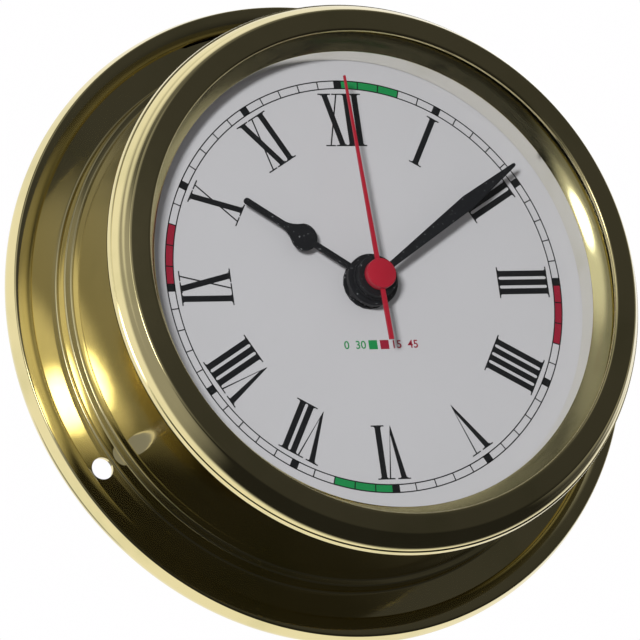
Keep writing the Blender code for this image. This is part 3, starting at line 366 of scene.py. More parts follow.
@dataclass(frozen=True)
class Enamel(Finish):
    """Smooth paint with a faint orange peel and small colour changes."""

    grain: float = 1500.0
    relief: float = 0.000003
    shade: float = 0.04
    shade_grain: float = 45.0

    def vary(self, graph: Graph, shader: bpy.types.Node) -> None:
        """Adds the peel of the paint and soft patches.

        Args:
            graph: The material's tree.
            shader: Its main shader.
        """
        point = graph.where()
        peel = graph.noise(point, self.grain, 2.0)
        patch = graph.noise(point, self.shade_grain, 3.0)
        dark = tuple(c * (1.0 - self.shade) for c in self.colour)
        self.feed(shader, colour=graph.mix(patch, dark, self.colour),
                  roughness=self.roughness * (0.9 + 0.2 * peel),
                  normal=graph.bump(peel, self.relief))


@dataclass(frozen=True)
class MattBlack(Finish):
    """Matt black lacquer with a few pale specks of dust."""

    grain: float = 2600.0
    relief: float = 0.000004
    speck: Colour = (0.18, 0.18, 0.19)
    speck_grain: float = 1700.0

    def vary(self, graph: Graph, shader: bpy.types.Node) -> None:
        """Adds fine grain and the specks.

        Args:
            graph: The material's tree.
            shader: Its main shader.
        """
        point = graph.where()
        grain = graph.noise(point, self.grain, 2.0)
        specks = graph.noise(point, self.speck_grain, 0.0).smooth(0.74, 0.8)
        self.feed(shader, colour=graph.mix(specks, self.colour, self.speck),
                  roughness=self.roughness * (0.85 + 0.3 * grain),
                  normal=graph.bump(grain, self.relief))


@dataclass(frozen=True)
class Moulded(Finish):
    """Moulded plastic with a fine eroded texture."""

    grain: float = 1900.0
    relief: float = 0.000012
    worn_grain: float = 70.0

    def vary(self, graph: Graph, shader: bpy.types.Node) -> None:
        """Adds the mould's texture and slightly polished patches.

        Args:
            graph: The material's tree.
            shader: Its main shader.
        """
        point = graph.where()
        texture = graph.noise(point, self.grain, 4.0)
        worn = graph.noise(point, self.worn_grain, 2.0)
        light = tuple(min(1.0, c * 1.25 + 0.004) for c in self.colour)
        self.feed(shader, colour=graph.mix(texture, self.colour, light),
                  roughness=self.roughness * (0.85 + 0.3 * worn),
                  normal=graph.bump(texture, self.relief))


@dataclass(frozen=True)
class Rolled(Finish):
    """Rolled or plated sheet with brush lines along one axis."""

    line: float = 0.000002
    line_grain: float = 4200.0
    cloud_grain: float = 160.0
    tarnish: Colour = (0.45, 0.45, 0.46)

    def vary(self, graph: Graph, shader: bpy.types.Node) -> None:
        """Adds brush lines and cloudy plating.

        Args:
            graph: The material's tree.
            shader: Its main shader.
        """
        x, y, z = graph.axes()
        along = graph.node("ShaderNodeCombineXYZ", inputs={0: x * 0.05, 1: y, 2: z})
        lines = graph.noise(along, self.line_grain, 3.0)
        cloud = graph.noise(graph.where(), self.cloud_grain, 3.0).smooth(0.4, 0.75)
        self.feed(shader, colour=graph.mix(cloud, self.colour, self.tarnish),
                  roughness=self.roughness * (0.8 + 0.4 * lines),
                  normal=graph.bump(lines, self.line))


@dataclass(frozen=True)
class WoundWire(Finish):
    """Enamelled wire wound in close turns along x."""

    wire: float = 0.00022

    def vary(self, graph: Graph, shader: bpy.types.Node) -> None:
        """Adds the turns of the winding, with painted shade in the gaps between them.

        Args:
            graph: The material's tree.
            shader: Its main shader.
        """
        x, _, _ = graph.axes()
        turn = x.maths("SINE", x * (math.pi / self.wire))
        round_wire = turn.maths("ABSOLUTE", turn)
        # painted shade: the colour darkens to 35 % in the gaps between the turns
        dark = tuple(c * 0.35 for c in self.colour)
        self.feed(shader, colour=graph.mix(round_wire.smooth(0.0, 0.5), dark, self.colour),
                  normal=graph.bump(round_wire, self.wire / 2))


@dataclass(frozen=True)
class CellShell(Finish):
    """The printed sleeve of a cell: a dark body, a metal collar and bare ends."""

    collar: Colour = (0.62, 0.48, 0.26)
    bare: Colour = (0.62, 0.62, 0.63)
    body_start: float = -0.0242
    collar_start: float = 0.0125
    body_end: float = 0.0243

    def vary(self, graph: Graph, shader: bpy.types.Node) -> None:
        """Colours the sleeve by its length and leaves the ends bare.

        Args:
            graph: The material's tree.
            shader: Its main shader.
        """
        x, _, _ = graph.axes()
        body = x.within(self.body_start, self.collar_start)
        collar = x.within(self.collar_start, self.body_end)
        colour = graph.mix(collar, graph.mix(body, self.bare, self.colour), self.collar)
        fine = graph.noise(graph.where(), 900.0, 2.0)
        self.feed(shader, colour=colour, roughness=0.22 + 0.12 * fine, metallic=1.0 - body)


@dataclass(frozen=True)
class SolderResist(Finish):
    """Green solder resist with faint tracks under it."""

    track: Colour = (0.03, 0.26, 0.11)
    track_grain: float = 2600.0
    relief: float = 0.00003

    def vary(self, graph: Graph, shader: bpy.types.Node) -> None:
        """Adds straight tracks as slightly lighter bands.

        Args:
            graph: The material's tree.
            shader: Its main shader.
        """
        x, _, z = graph.axes()
        bands = x.maths("SINE", (x + z * 0.5) * self.track_grain)
        track = bands.smooth(0.35, 0.5)
        self.feed(shader, colour=graph.mix(track, self.colour, self.track),
                  normal=graph.bump(track, self.relief))


@dataclass(frozen=True)
class ClearGlass(Finish):
    """Thin clear glass: see-through, with a mirror image that grows towards its edges."""

    face_on: float = 0.035

    def material(self, name: str | None = None) -> bpy.types.Material:
        """Builds the glass.

        Args:
            name: The material's name, if it isn't the slot's.

        Returns:
            The new material.
        """
        made = bpy.data.materials.new(name or self.slot)
        made.use_nodes = True
        graph = Graph(made.node_tree)
        facing = graph.node("ShaderNodeLayerWeight", inputs={"Blend": 0.5}, output="Facing")
        share = self.face_on + (1.0 - self.face_on) * facing ** 5.0
        clear = graph.node("ShaderNodeBsdfTransparent", inputs={"Color": (*self.colour, 1.0)})
        sheen = graph.node("ShaderNodeBsdfPrincipled", inputs={
            "Base Color": (1.0, 1.0, 1.0, 1.0), "Metallic": 1.0, "Roughness": self.roughness})
        both = graph.node("ShaderNodeMixShader", inputs={0: share, 1: clear, 2: sheen})
        graph.node("ShaderNodeOutputMaterial", inputs={"Surface": both})
        return made


class Slot(Enum):
    """The finishes of the clock, by the slots of its record."""

    POLISHED_BRASS = SpunBrass("polished_brass", (0.80, 0.70, 0.37), 1.0, 0.055)
    TURNED_BRASS = SpunBrass("turned_brass", (0.72, 0.58, 0.30), 1.0, 0.26, wave=0.00001,
                             line=0.000002)
    DIAL_PAINT = Enamel("dial_paint", (0.60, 0.575, 0.605), 0.0, 0.42)
    CLEAR_GLASS = ClearGlass("clear_glass", (0.975, 0.985, 0.98), 0.0, 0.0)
    HAND_BLACK = MattBlack("hand_black", (0.012, 0.012, 0.014), 0.0, 0.55, specular=0.3)
    HAND_RED = Enamel("hand_red", (0.42, 0.012, 0.03), 0.0, 0.38, shade=0.08)
    BLACK_RUBBER = Moulded("black_rubber", (0.02, 0.02, 0.02), 0.0, 0.75)
    MOVEMENT_PLASTIC = Moulded("movement_plastic", (0.022, 0.022, 0.025), 0.0, 0.48)
    WHEEL_PLASTIC = Moulded("wheel_plastic", (0.78, 0.78, 0.74), 0.0, 0.4)
    PLATED_STEEL = Rolled("plated_steel", (0.60, 0.60, 0.62), 1.0, 0.28)
    COIL_COPPER = WoundWire("coil_copper", (0.60, 0.25, 0.10), 0.6, 0.3)
    BOARD_GREEN = SolderResist("board_green", (0.02, 0.16, 0.07), 0.0, 0.3, coat=0.4)
    BATTERY_SHELL = CellShell("battery_shell", (0.045, 0.05, 0.06), 1.0, 0.28)


class Ink(Enum):
    """The printing inks of the dial."""

    BLACK = Enamel("dial_paint", (0.010, 0.010, 0.012), 0.0, 0.5, shade=0.2)
    GREEN = Enamel("dial_paint", (0.012, 0.27, 0.075), 0.0, 0.5, shade=0.12)
    RED = Enamel("dial_paint", (0.33, 0.012, 0.035), 0.0, 0.5, shade=0.12)


class Profile:
    """A line of (radius, depth) points in millimetres, drawn step by step."""

    def __init__(self, *points: Point) -> None:
        """Starts the line."""
        self.points: list[Point] = list(points)

    def to(self, *points: Point) -> "Profile":
        """Goes straight through more points."""
        self.points += points
        return self

    def arc(self, centre: Point, radii: Point, start: float, end: float, steps: int) -> "Profile":
        """Follows part of an ellipse.

        Args:
            centre: Its middle.
            radii: Its half widths along the radius and the depth.
            start: The first angle in degrees, 0 outwards and 90 forwards.
            end: The last angle.
            steps: The number of straight steps.

        Returns:
            The profile.
        """
        for step in range(steps + 1):
            turn = math.radians(start + (end - start) * step / steps)
            self.points.append((centre[0] + radii[0] * math.cos(turn),
                                centre[1] + radii[1] * math.sin(turn)))
        return self

    def curve(self, pull: Point, end: Point, steps: int = 6) -> "Profile":
        """Bends from the last point to another.

        Args:
            pull: The point that both ends of the bend aim at.
            end: Where it ends.
            steps: The number of straight steps.

        Returns:
            The profile.
        """
        start = self.points[-1]
        for step in range(1, steps + 1):
            t = step / steps
            self.points.append(tuple((1 - t) ** 2 * a + 2 * t * (1 - t) * b + t * t * c
                                     for a, b, c in zip(start, pull, end)))
        return self

    def held(self, reach: float = 0.12, least: float = 0.6) -> "Profile":
        """Adds a point near both ends of each long straight, which keeps its shading flat.

        Args:
            reach: How far from the ends the points are, in millimetres.
            least: The length above which a straight is long.

        Returns:
            The profile.
        """
        points: list[Point] = []
        count = len(self.points)
        for number, start in enumerate(self.points):
            end = self.points[(number + 1) % count]
            length = math.dist(start, end)
            points.append(start)
            if length > least:
                for share in (reach / length, 1.0 - reach / length):
                    points.append((start[0] + (end[0] - start[0]) * share,
                                   start[1] + (end[1] - start[1]) * share))
        self.points = points
        return self


class Sheet:
    """A mesh in the making, with the few shapes that this clock is made of."""

    def __init__(self) -> None:
        """Starts an empty mesh."""
        self.bm = bmesh.new()

    def turn(self, points: Line, steps: int, left_out: tuple[int, ...] = (),
             open_ends: bool = False) -> list[list[bmesh.types.BMVert]]:
        """Turns a closed profile about the arbor.

        Args:
            points: The profile, as (radius, depth).
            steps: The number of faces round the axis.
            left_out: The bands that get no faces, by the number of their first point.
            open_ends: Whether the last point isn't joined to the first.

        Returns:
            The rings of vertices, one for each point.
        """
        rings = []
        for radius, depth in points:
            if radius < ON_AXIS:
                rings.append([self.bm.verts.new(place(0.0, 0.0, depth))])
            else:
                rings.append([self.bm.verts.new(place(radius, 360.0 * step / steps, depth))
                              for step in range(steps)])
        last = len(points) - 1 if open_ends else len(points)
        for band in range(last):
            if band in left_out:
                continue
            near, far = rings[band], rings[(band + 1) % len(points)]
            if len(near) == 1 and len(far) == 1:
                continue
            for step in range(steps):
                after = (step + 1) % steps
                corners = [near[step % len(near)], near[after % len(near)],
                           far[after % len(far)], far[step % len(far)]]
                self.bm.faces.new(list(dict.fromkeys(corners)))
        return rings

    def plate(self, outline: list[Vector], rear: float, front: float, tilt: float = 0.0) -> None:
        """Makes a flat plate from an outline seen from the front.

        Args:
            outline: Points whose y isn't used, clockwise or not.
            rear: The depth of its rear face.
            front: The depth of its front face.
            tilt: How far its front edge is drawn in, for a soft edge.
        """
        count = len(outline)
        centre = sum(outline, Vector()) / count
        rows = []
        for depth, inset in ((rear, 0.0), (front - tilt, 0.0), (front, tilt)):
            row = []
            for number, point in enumerate(outline):
                moved = point.copy()
                if inset:
                    before, after = outline[number - 1], outline[(number + 1) % count]
                    along = (after - before).normalized()
                    across = Vector((along.z, 0.0, -along.x))
                    if across.dot(centre - point) < 0:
                        across = -across
                    moved += across * inset * MM
                moved.y = -depth * MM
                row.append(self.bm.verts.new(moved))
            rows.append(row)
        for near, far in zip(rows, rows[1:]):
            for number in range(count):
                after = (number + 1) % count
                self.bm.faces.new((near[number], near[after], far[after], far[number]))
        self.bm.faces.new(rows[0])
        self.bm.faces.new(rows[-1])

    def finish(self, name: str, material: bpy.types.Material, sharp: float = CREASE
               ) -> bpy.types.Object:
        """Closes the mesh and makes it an object.

        Args:
            name: The object's name.
            material: Its finish.
            sharp: The angle above which an edge stays sharp, in degrees.

        Returns:
            The new object.
        """
        bmesh.ops.remove_doubles(self.bm, verts=self.bm.verts, dist=WELD)
        bmesh.ops.recalc_face_normals(self.bm, faces=self.bm.faces)
        mesh = bpy.data.meshes.new(name)
        self.bm.to_mesh(mesh)
        self.bm.free()
        mesh.shade_smooth()
        mesh.set_sharp_from_angle(angle=math.radians(sharp))
        mesh.materials.append(material)
        return hang(name, mesh)


def turned(name: str, points: Line, material: bpy.types.Material, steps: int = DISC_STEPS,
           sharp: float = CREASE, open_ends: bool = False) -> bpy.types.Object:
    """Makes a piece by turning one profile.

    Args:
        name: The object's name.
        points: The profile.
        material: Its finish.
        steps: The number of faces round the axis.
        sharp: The angle above which an edge stays sharp, in degrees.
        open_ends: Whether the last point isn't joined to the first.

    Returns:
        The piece.
    """
    sheet = Sheet()
    sheet.turn(points, steps, open_ends=open_ends)
    return sheet.finish(name, material, sharp)


class Workshop:
    """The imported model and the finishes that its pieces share."""

    def __init__(self, frame: dict) -> None:
        """Builds each finish once and dresses the pieces of the model.

        Args:
            frame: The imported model.
        """
        self.finishes = {slot: slot.value.material() for slot in Slot}
        self.inks = {ink: ink.value.material(f"ink_{ink.name.lower()}") for ink in Ink}
        polished = Slot.POLISHED_BRASS.value
        self.reflector = ReflectorBrass(polished.slot, polished.colour, 1.0, 0.07
                                        ).material("reflector_brass")
        by_name = {slot.value.slot: made for slot, made in self.finishes.items()}
        for node in frame["nodes"].values():
            for held in node.material_slots:
                held.material = by_name[held.material.name.split(".")[0]]

    def seat(self, piece: bpy.types.Object, body: str, slot: Slot, *nodes: str) -> None:
        """Fixes a finished piece to the model.

        Args:
            piece: The piece.
            body: The moving body that carries it.
            slot: The finish of the record that it takes; not used.
            nodes: The pieces of the model that it stands for.
        """
        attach(piece, body)
        if nodes:
            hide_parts(*nodes)
        LOG.info("%s: %d faces on %s", piece.name, len(piece.data.polygons), body)


@dataclass
class Case:
    """The spun case: rolled rim, flat ring with three holes, step and flared barrel."""

    shop: Workshop
    rim_centre: Point = (72.8, 3.2)
    rim_half: Point = (2.2, 3.2)
    rim_start: float = -60.0
    rim_steps: int = 12
    rim_side: tuple[Point, Point] = ((74.95, 3.9), (74.2, 6.05))
    rim_edge: tuple[Point, Point] = ((74.1, 6.38), (73.7, 6.4))
    rim_top: Point = (72.6, 6.37)
    rim_fall: tuple[Point, Point] = ((71.2, 6.3), (70.2, 5.8))
    rim_foot: Point = (69.9, 5.55)
    hem: tuple[float, float] = (72.2, 73.4)
    hem_edge: Point = (0.2, 0.08)
    sheet: float = 1.0
    ring_depth: float = 4.6
    ring_outer: float = 69.4
    ring_inner: float = 64.2
    hole_circle: float = 66.7
    hole_radius: float = 2.5
    hole_angles: tuple[float, ...] = (0.0, 120.0, 240.0)
    hole_steps: int = 48
    step_root: tuple[Point, Point] = ((64.1, 5.2), (0.6, 0.6))
    step_bend: tuple[float, float, int] = (-100.0, -170.0, 5)
    step_side: tuple[Point, Point] = ((63.5, 5.5), (63.5, 8.5))
    step_edge: tuple[Point, Point] = ((63.45, 8.98), (63.0, 9.0))
    step_top: Point = (62.15, 9.03)
    step_inner: Point = (62.5, 8.0)
    inner_ring: float = 69.7
    inner_root: Point = (70.5, 4.8)
    barrel_foot: Point = (61.73, 9.08)
    barrel_join: float = 9.6
    barrel_start: float = 9.8
    barrel_steps: int = 26
    barrel_rear: float = 9.0
    barrel_front: float = 35.4
    barrel_radius: float = 61.7
    barrel_flare: float = 1.8

    def wall(self, depth: float) -> float:
        """Returns the barrel's outer radius at a depth."""
        share = (depth - self.barrel_rear) / (self.barrel_front - self.barrel_rear)
        return self.barrel_radius + self.barrel_flare * share * share

    def profile(self) -> tuple[list[Point], int, int]:
        """Draws the case's closed profile.

        Returns:
            The points, and the numbers of the front and the rear band of the flat ring.
        """
        thick = self.sheet
        line = Profile((self.hem[1], 0.0), (self.hem[1] + self.hem_edge[0], self.hem_edge[1]))
        line.arc(self.rim_centre, self.rim_half, self.rim_start, 0.0, self.rim_steps)
        line.curve(*self.rim_side, 8).curve(*self.rim_edge).to(self.rim_top)
        line.curve(*self.rim_fall).to(self.rim_foot, (self.ring_outer, self.ring_depth))
        front = len(line.points) - 1
        line.to((self.ring_inner, self.ring_depth)).arc(*self.step_root, *self.step_bend)
        line.to(*self.step_side).curve(*self.step_edge).to(self.step_top)
        line.curve(self.barrel_foot, (self.wall(self.barrel_join), self.barrel_join))
        length, steps = self.barrel_front - self.barrel_start, self.barrel_steps
        depths = [self.barrel_start + length * step / steps for step in range(steps + 1)]
        line.to(*[(self.wall(depth), depth) for depth in depths])
        line.to(*[(self.wall(depth) - thick, depth) for depth in reversed(depths)])
        top = self.step_inner[1]
        line.to((self.wall(top) - thick, top), self.step_inner)
        line.to((self.step_inner[0], self.ring_depth - thick))
        rear = len(line.points) - 1
        line.to((self.inner_ring, self.ring_depth - thick), self.inner_root)
        inner = (self.rim_half[0] - thick, self.rim_half[1] - thick)
        line.arc(self.rim_centre, inner, 90.0, self.rim_start, self.rim_steps)
        line.to((self.hem[0], thick), (self.hem[0], 0.0))
        return line.points, front, rear

    def build(self) -> None:
        """Turns the case, pierces its ring and seats it."""
        sheet = Sheet()
        points, front, rear = self.profile()
        rings = sheet.turn(points, TURNED_STEPS, left_out=(front, rear))
        bm = sheet.bm
        walls = []
        for band, depth in ((front, self.ring_depth), (rear, self.ring_depth - self.sheet)):
            edges = []
            for ring in (rings[band], rings[band + 1]):
                edges += [bm.edges.get((ring[i - 1], ring[i])) or
                          bm.edges.new((ring[i - 1], ring[i])) for i in range(len(ring))]
            circles = []
            for angle in self.hole_angles:
                centre = place(self.hole_circle, angle, depth)
                circle = []
                for step in range(self.hole_steps):
                    turn = math.tau * step / self.hole_steps
                    offset = Vector((math.sin(turn), 0.0, math.cos(turn))) * self.hole_radius * MM
                    circle.append(bm.verts.new(centre + offset))
                edges += [bm.edges.new((circle[i - 1], circle[i])) for i in range(len(circle))]
                circles.append(circle)
            bmesh.ops.triangle_fill(bm, use_beauty=True, edges=edges)
            walls.append(circles)
        for near, far in zip(*walls):
            for i in range(len(near)):
                bm.faces.new((near[i - 1], near[i], far[i], far[i - 1]))
        piece = sheet.finish("case_skin", self.shop.finishes[Slot.POLISHED_BRASS])
        self.shop.seat(piece, "case", Slot.POLISHED_BRASS, "case_body")


@dataclass
class Bezel:
    """The screwed bezel with its bead and crown, and the bright ring inside the glass."""

    shop: Workshop
    bead: tuple[Point, ...] = ((63.25, 35.7), (63.52, 35.75), (63.6, 35.95))
    bead_side: tuple[Point, Point] = ((63.54, 36.6), (63.38, 37.14))
    groove: tuple[Point, Point] = ((63.3, 37.18), (63.1, 37.28))
    flank: tuple[Point, Point] = ((62.8, 38.4), (61.75, 39.9))
    corner: tuple[Point, Point] = ((61.1, 41.0), (60.7, 41.45))
    crown: tuple[Point, Point] = ((60.55, 41.63), (60.1, 41.68))
    crown_top: Point = (56.3, 42.0)
    lip_edge: tuple[Point, Point] = ((55.65, 41.98), (55.6, 41.5))
    lip: Point = (55.6, 41.1)
    seat: Point = (58.3, 41.1)
    skirt: Point = (59.9, 31.7)
    collar_foot: Point = (53.4, 30.5)
    collar: Point = (52.7, 36.2)
    collar_edge: Point = (0.02, 0.08)
    slope_end: Point = (56.8, 38.3)
    slope_rise: float = 0.16
    slope_steps: int = 16
    slope_rear: tuple[Point, ...] = ((58.0, 38.3), (58.0, 37.6), (56.97, 37.6), (53.4, 35.77))

    def ring(self) -> bpy.types.Object:
        """Turns the bezel.

        Returns:
            The bezel's skin.
        """
        line = Profile(*self.bead).curve(*self.bead_side, 8).to(*self.groove)
        line.curve(*self.flank, 16).curve(*self.corner).curve(*self.crown)
        line.to(self.crown_top).curve(*self.lip_edge).to(self.lip, self.seat)
        line.to((self.seat[0], self.skirt[1]), self.skirt, (self.skirt[0], self.bead[0][1]))
        brass = self.shop.finishes[Slot.POLISHED_BRASS]
        return turned("bezel_skin", line.held().points, brass, TURNED_STEPS, BRASS_CREASE)

    def reflector(self) -> bpy.types.Object:
        """Turns the collar on the dial and the slope outside it, which swells a little.

        Returns:
            The reflector's skin.
        """
        (near, edge), (far, front) = self.collar, self.slope_end
        line = Profile(self.collar_foot, (near, self.collar_foot[1]))
        line.to((near, edge - self.collar_edge[1]), (near + self.collar_edge[0], edge))
        for step in range(1, self.slope_steps + 1):
            share = step / self.slope_steps
            swell = 4.0 * self.slope_rise * share * (1.0 - share)
            line.to((near + (far - near) * share, edge + (front - edge) * share + swell))
        line.to(*self.slope_rear)
        points = line.held(0.08).points
        return turned("reflector_skin", points, self.shop.reflector, TURNED_STEPS, BRASS_CREASE)

    def build(self) -> None:
        """Seats the bezel's pieces."""
        self.shop.seat(self.ring(), "bezel", Slot.POLISHED_BRASS, "bezel_ring")
        self.shop.seat(self.reflector(), "bezel", Slot.POLISHED_BRASS, "reflector_ring")


@dataclass
class Glazing:
    """The flat glass."""

    shop: Workshop
    radius: float = 58.0
    rear: float = 39.4
    front: float = 40.8
    edge: float = 0.15

    def build(self) -> None:
        """Turns the glass with its ground edge and seats it."""
        line = Profile((0.0, self.rear), (self.radius - self.edge, self.rear))
        line.to((self.radius, self.rear + self.edge), (self.radius, self.front - self.edge))
        line.to((self.radius - self.edge, self.front), (0.0, self.front))
        clear = self.shop.finishes[Slot.CLEAR_GLASS]
        piece = turned("glass_disc", line.points, clear, open_ends=True)
        self.shop.seat(piece, "glazing", Slot.CLEAR_GLASS, "glass")


@dataclass
class MinuteTrack:
    """Two fine circles with a tick each minute and a black block each hour."""

    inner: float = 46.0
    outer: float = 47.8
    line: float = 0.27
    block: float = 1.85
    minutes: int = 60
    circle_steps: int = 240

    def tree(self) -> bpy.types.NodeTree:
        """Builds the node tree that lays the track out round the dial.

        Returns:
            The tree, with its sizes and its ink as inputs.
        """
        tree = bpy.data.node_groups.new("minute_track", "GeometryNodeTree")
        tree.is_modifier = True
        graph = Graph(tree)
        face = tree.interface
        for name in ("Inner Radius", "Outer Radius", "Line Width", "Block Width", "Rear Depth",
                     "Front Depth"):
            face.new_socket(name, in_out="INPUT", socket_type="NodeSocketFloat")
        face.new_socket("Ink", in_out="INPUT", socket_type="NodeSocketMaterial")
        face.new_socket("Geometry", in_out="OUTPUT", socket_type="NodeSocketGeometry")
        entry = graph.node("NodeGroupInput")
        sizes = {s.name: Wire(graph, s) for s in entry.socket.node.outputs if s.name}
        inner, outer = sizes["Inner Radius"], sizes["Outer Radius"]
        width, block = sizes["Line Width"], sizes["Block Width"]
        thick = sizes["Front Depth"] - sizes["Rear Depth"]
        middle_depth = (sizes["Front Depth"] + sizes["Rear Depth"]) * -0.5
        middle = (inner + outer) * 0.5
        stand = graph.node("FunctionNodeAxisAngleToRotation",
                           inputs={"Axis": (1.0, 0.0, 0.0), "Angle": math.pi / 2})
        ring = graph.node("GeometryNodeMeshCircle", {"fill_type": "NONE"},
                          {"Vertices": self.minutes, "Radius": middle}, "Mesh")
        number = graph.node("GeometryNodeInputIndex", output="Index")
        turn = number * (math.tau / self.minutes)
        hour = 1.0 - (number.maths("MODULO", number, 5.0)).above(0.5)
        spin = graph.node("ShaderNodeCombineXYZ", inputs={2: turn})
        parts = []
        for chosen, wide, high in ((1.0 - hour, width, outer - inner),
                                   (hour, block, outer - inner + width)):
            size = graph.node("ShaderNodeCombineXYZ", inputs={0: high, 1: wide, 2: thick})
            bar = graph.node("GeometryNodeMeshCube", inputs={"Size": size}, output="Mesh")
            parts.append(graph.node("GeometryNodeInstanceOnPoints", inputs={
                "Points": ring, "Selection": chosen.above(0.5), "Instance": bar,
                "Rotation": spin}))
        for radius in (inner, outer):
            path = graph.node("GeometryNodeCurvePrimitiveCircle",
                              inputs={"Resolution": self.circle_steps, "Radius": radius})
            strip = graph.node("GeometryNodeCurvePrimitiveQuadrilateral",
                               inputs={"Width": width, "Height": thick})
            parts.append(graph.node("GeometryNodeCurveToMesh",
                                    inputs={"Curve": path, "Profile Curve": strip}))
        joined = graph.node("GeometryNodeJoinGeometry")
        for part in parts:
            tree.links.new(part.socket, joined.socket.node.inputs[0])
        shift = graph.node("ShaderNodeCombineXYZ", inputs={1: middle_depth})
        moved = graph.node("GeometryNodeTransform", inputs={
            "Geometry": joined, "Rotation": stand, "Translation": shift})
        solid = graph.node("GeometryNodeRealizeInstances", inputs={"Geometry": moved})
        inked = graph.node("GeometryNodeSetMaterial",
                           inputs={"Geometry": solid, "Material": sizes["Ink"]})
        graph.node("NodeGroupOutput", inputs={"Geometry": inked})
        return tree

    def build(self, ink: bpy.types.Material) -> bpy.types.Object:
        """Runs the tree.

        Args:
            ink: The ink of the track.

        Returns:
            The track as a plain mesh.
        """
        tree = self.tree()
        carrier = hang("track_carrier", bpy.data.meshes.new("track_carrier"))
        modifier = carrier.modifiers.new("track", "NODES")
        modifier.node_group = tree
        values = {"Inner Radius": self.inner * MM, "Outer Radius": self.outer * MM,
                  "Line Width": self.line * MM, "Block Width": self.block * MM,
                  "Rear Depth": INK_REAR * MM, "Front Depth": INK_FRONT * MM, "Ink": ink}
        for item in tree.interface.items_tree:
            if item.item_type == "SOCKET" and item.in_out == "INPUT":
                modifier[item.identifier] = values[item.name]
        mesh = settle(carrier, ink)
        mesh.name = "minute_track"
        return hang(mesh.name, mesh)


@dataclass
class Numerals:
    """The Roman hours, with their feet towards the centre."""

    foot: float = 32.4
    head: float = 44.8
    stem: float = 1.38
    thin: float = 0.34
    pitch: float = 2.07
    serif: float = 0.3
    overhang: float = 0.86
    overhang_v: float = 1.05
    overhang_x: float = 1.0
    spread_v: float = 1.72
    spread_x: float = 1.5
    beside_v: float = 3.1
    beside_x: float = 3.78
    inside_v: Point = (0.34, 1.6)
    tip_v: Point = (0.13, 0.3)
    bracket: tuple[Point, ...] = ((-0.05, 0.9), (0.34, 0.9), (0.1, 1.5), (-0.05, 2.3))
    lift: float = 0.0005
    words: tuple[str, ...] = ("XII", "I", "II", "III", "IIII", "V", "VI", "VII", "VIII", "IX",
                              "X", "XI")

    def quad(self, sheet: Sheet, angle: float, corners: list[Point], lifts: int = 0) -> None:
        """Adds a flat patch with (across, radius) corners, so many lifts above the rest."""
        sheet.plate(spread(angle, corners), INK_REAR, INK_FRONT + lifts * self.lift)

    def bar(self, sheet: Sheet, angle: float, foot: float, head: float, wide: float,
            lifts: int = 0) -> None:
        """Adds a stroke between its places across at its foot and at its head."""
        half = wide / 2
        self.quad(sheet, angle, [(foot - half, self.foot), (foot + half, self.foot),
                                 (head + half, self.head), (head - half, self.head)], lifts)

    def cap(self, sheet: Sheet, angle: float, left: float, right: float, at_head: bool,
            stems: list[float]) -> None:
        """Adds a serif line and the small brackets that join the outer strokes to it.

        Args:
            sheet: The mesh.
            angle: The clock angle of the numeral.
            left: Where the line starts.
            right: Where it ends.
            at_head: Whether it is at the head.
            stems: The wide strokes that stand on it.
        """
        edge, step = (self.head, -self.serif) if at_head else (self.foot, self.serif)
        self.quad(sheet, angle, [(left, edge), (right, edge), (right, edge + step),
                                 (left, edge + step)], 2)
        for stem in stems:
            for side in (-1, 1):
                start = stem + side * self.stem / 2
                self.quad(sheet, angle, [(start + side * out, edge + step * up)
                                         for out, up in self.bracket], 3)

    def layout(self, word: str) -> list[tuple[str, float]]:
        """Places the letters of a numeral.

        Args:
            word: The numeral.

        Returns:
            Each letter with its place across, centred on the hour.
        """
        beside = {"V": self.beside_v, "X": self.beside_x}
        places, at = [], 0.0
        for number, letter in enumerate(word):
            if number:
                pair = {word[number - 1], letter}
                wide = [beside[one] for one in pair if one in beside]
                at += wide[0] if wide else self.pitch
            places.append((letter, at))
        reach = {"I": self.stem / 2, "V": self.spread_v + self.stem / 2,
                 "X": self.spread_x + self.stem / 2}
        low = places[0][1] - reach[places[0][0]]
        high = places[-1][1] + reach[places[-1][0]]
        return [(letter, at - (low + high) / 2) for letter, at in places]

    def build(self, ink: bpy.types.Material) -> bpy.types.Object:
        """Draws all twelve numerals.

        Args:
            ink: Their ink.

        Returns:
            One mesh.
        """
        sheet = Sheet()
        for hour, word in enumerate(self.words):
            angle = hour * 30.0
            feet: list[tuple[float, float, float]] = []
            heads: list[tuple[float, float, float]] = []
            for letter, at in self.layout(word):
                if letter == "I":
                    self.bar(sheet, angle, at, at, self.stem)
                    feet.append((at, self.stem, self.overhang))
                    heads.append((at, self.stem, self.overhang))
                elif letter == "V":
                    thick, thin = at - self.spread_v, at + self.spread_v
                    for top, wide, (out, up), lifts in ((thick, self.stem, self.inside_v, 1),
                                                        (thin, self.thin, self.tip_v, 0)):
                        self.quad(sheet, angle, [
                            (top - wide / 2, self.head), (top + wide / 2, self.head),
                            (at + out, self.foot + up), (at, self.foot)], lifts)
                    heads += [(thick, self.stem, self.overhang),
                              (thin, self.thin, self.overhang_v)]
                else:
                    left, right = at - self.spread_x, at + self.spread_x
                    self.bar(sheet, angle, right, left, self.stem, 1)
                    self.bar(sheet, angle, left, right, self.thin)
                    over = self.overhang_x
                    heads += [(left, self.stem, self.overhang), (right, self.thin, over)]
                    feet += [(left, self.thin, over), (right, self.stem, self.overhang)]
            for at_head, stands in ((True, heads), (False, feet)):
                runs: list[list[float]] = []
                for at, wide, over in stands:
                    low, high = at - wide / 2 - over, at + wide / 2 + over
                    if runs and low < runs[-1][1]:
                        runs[-1][1] = high
                    else:
                        runs.append([low, high])
                for low, high in runs:
                    stems = [at for at, wide, _ in stands if low < at < high and wide == self.stem]
                    self.cap(sheet, angle, low, high, at_head, stems)
        return sheet.finish("numerals", ink)


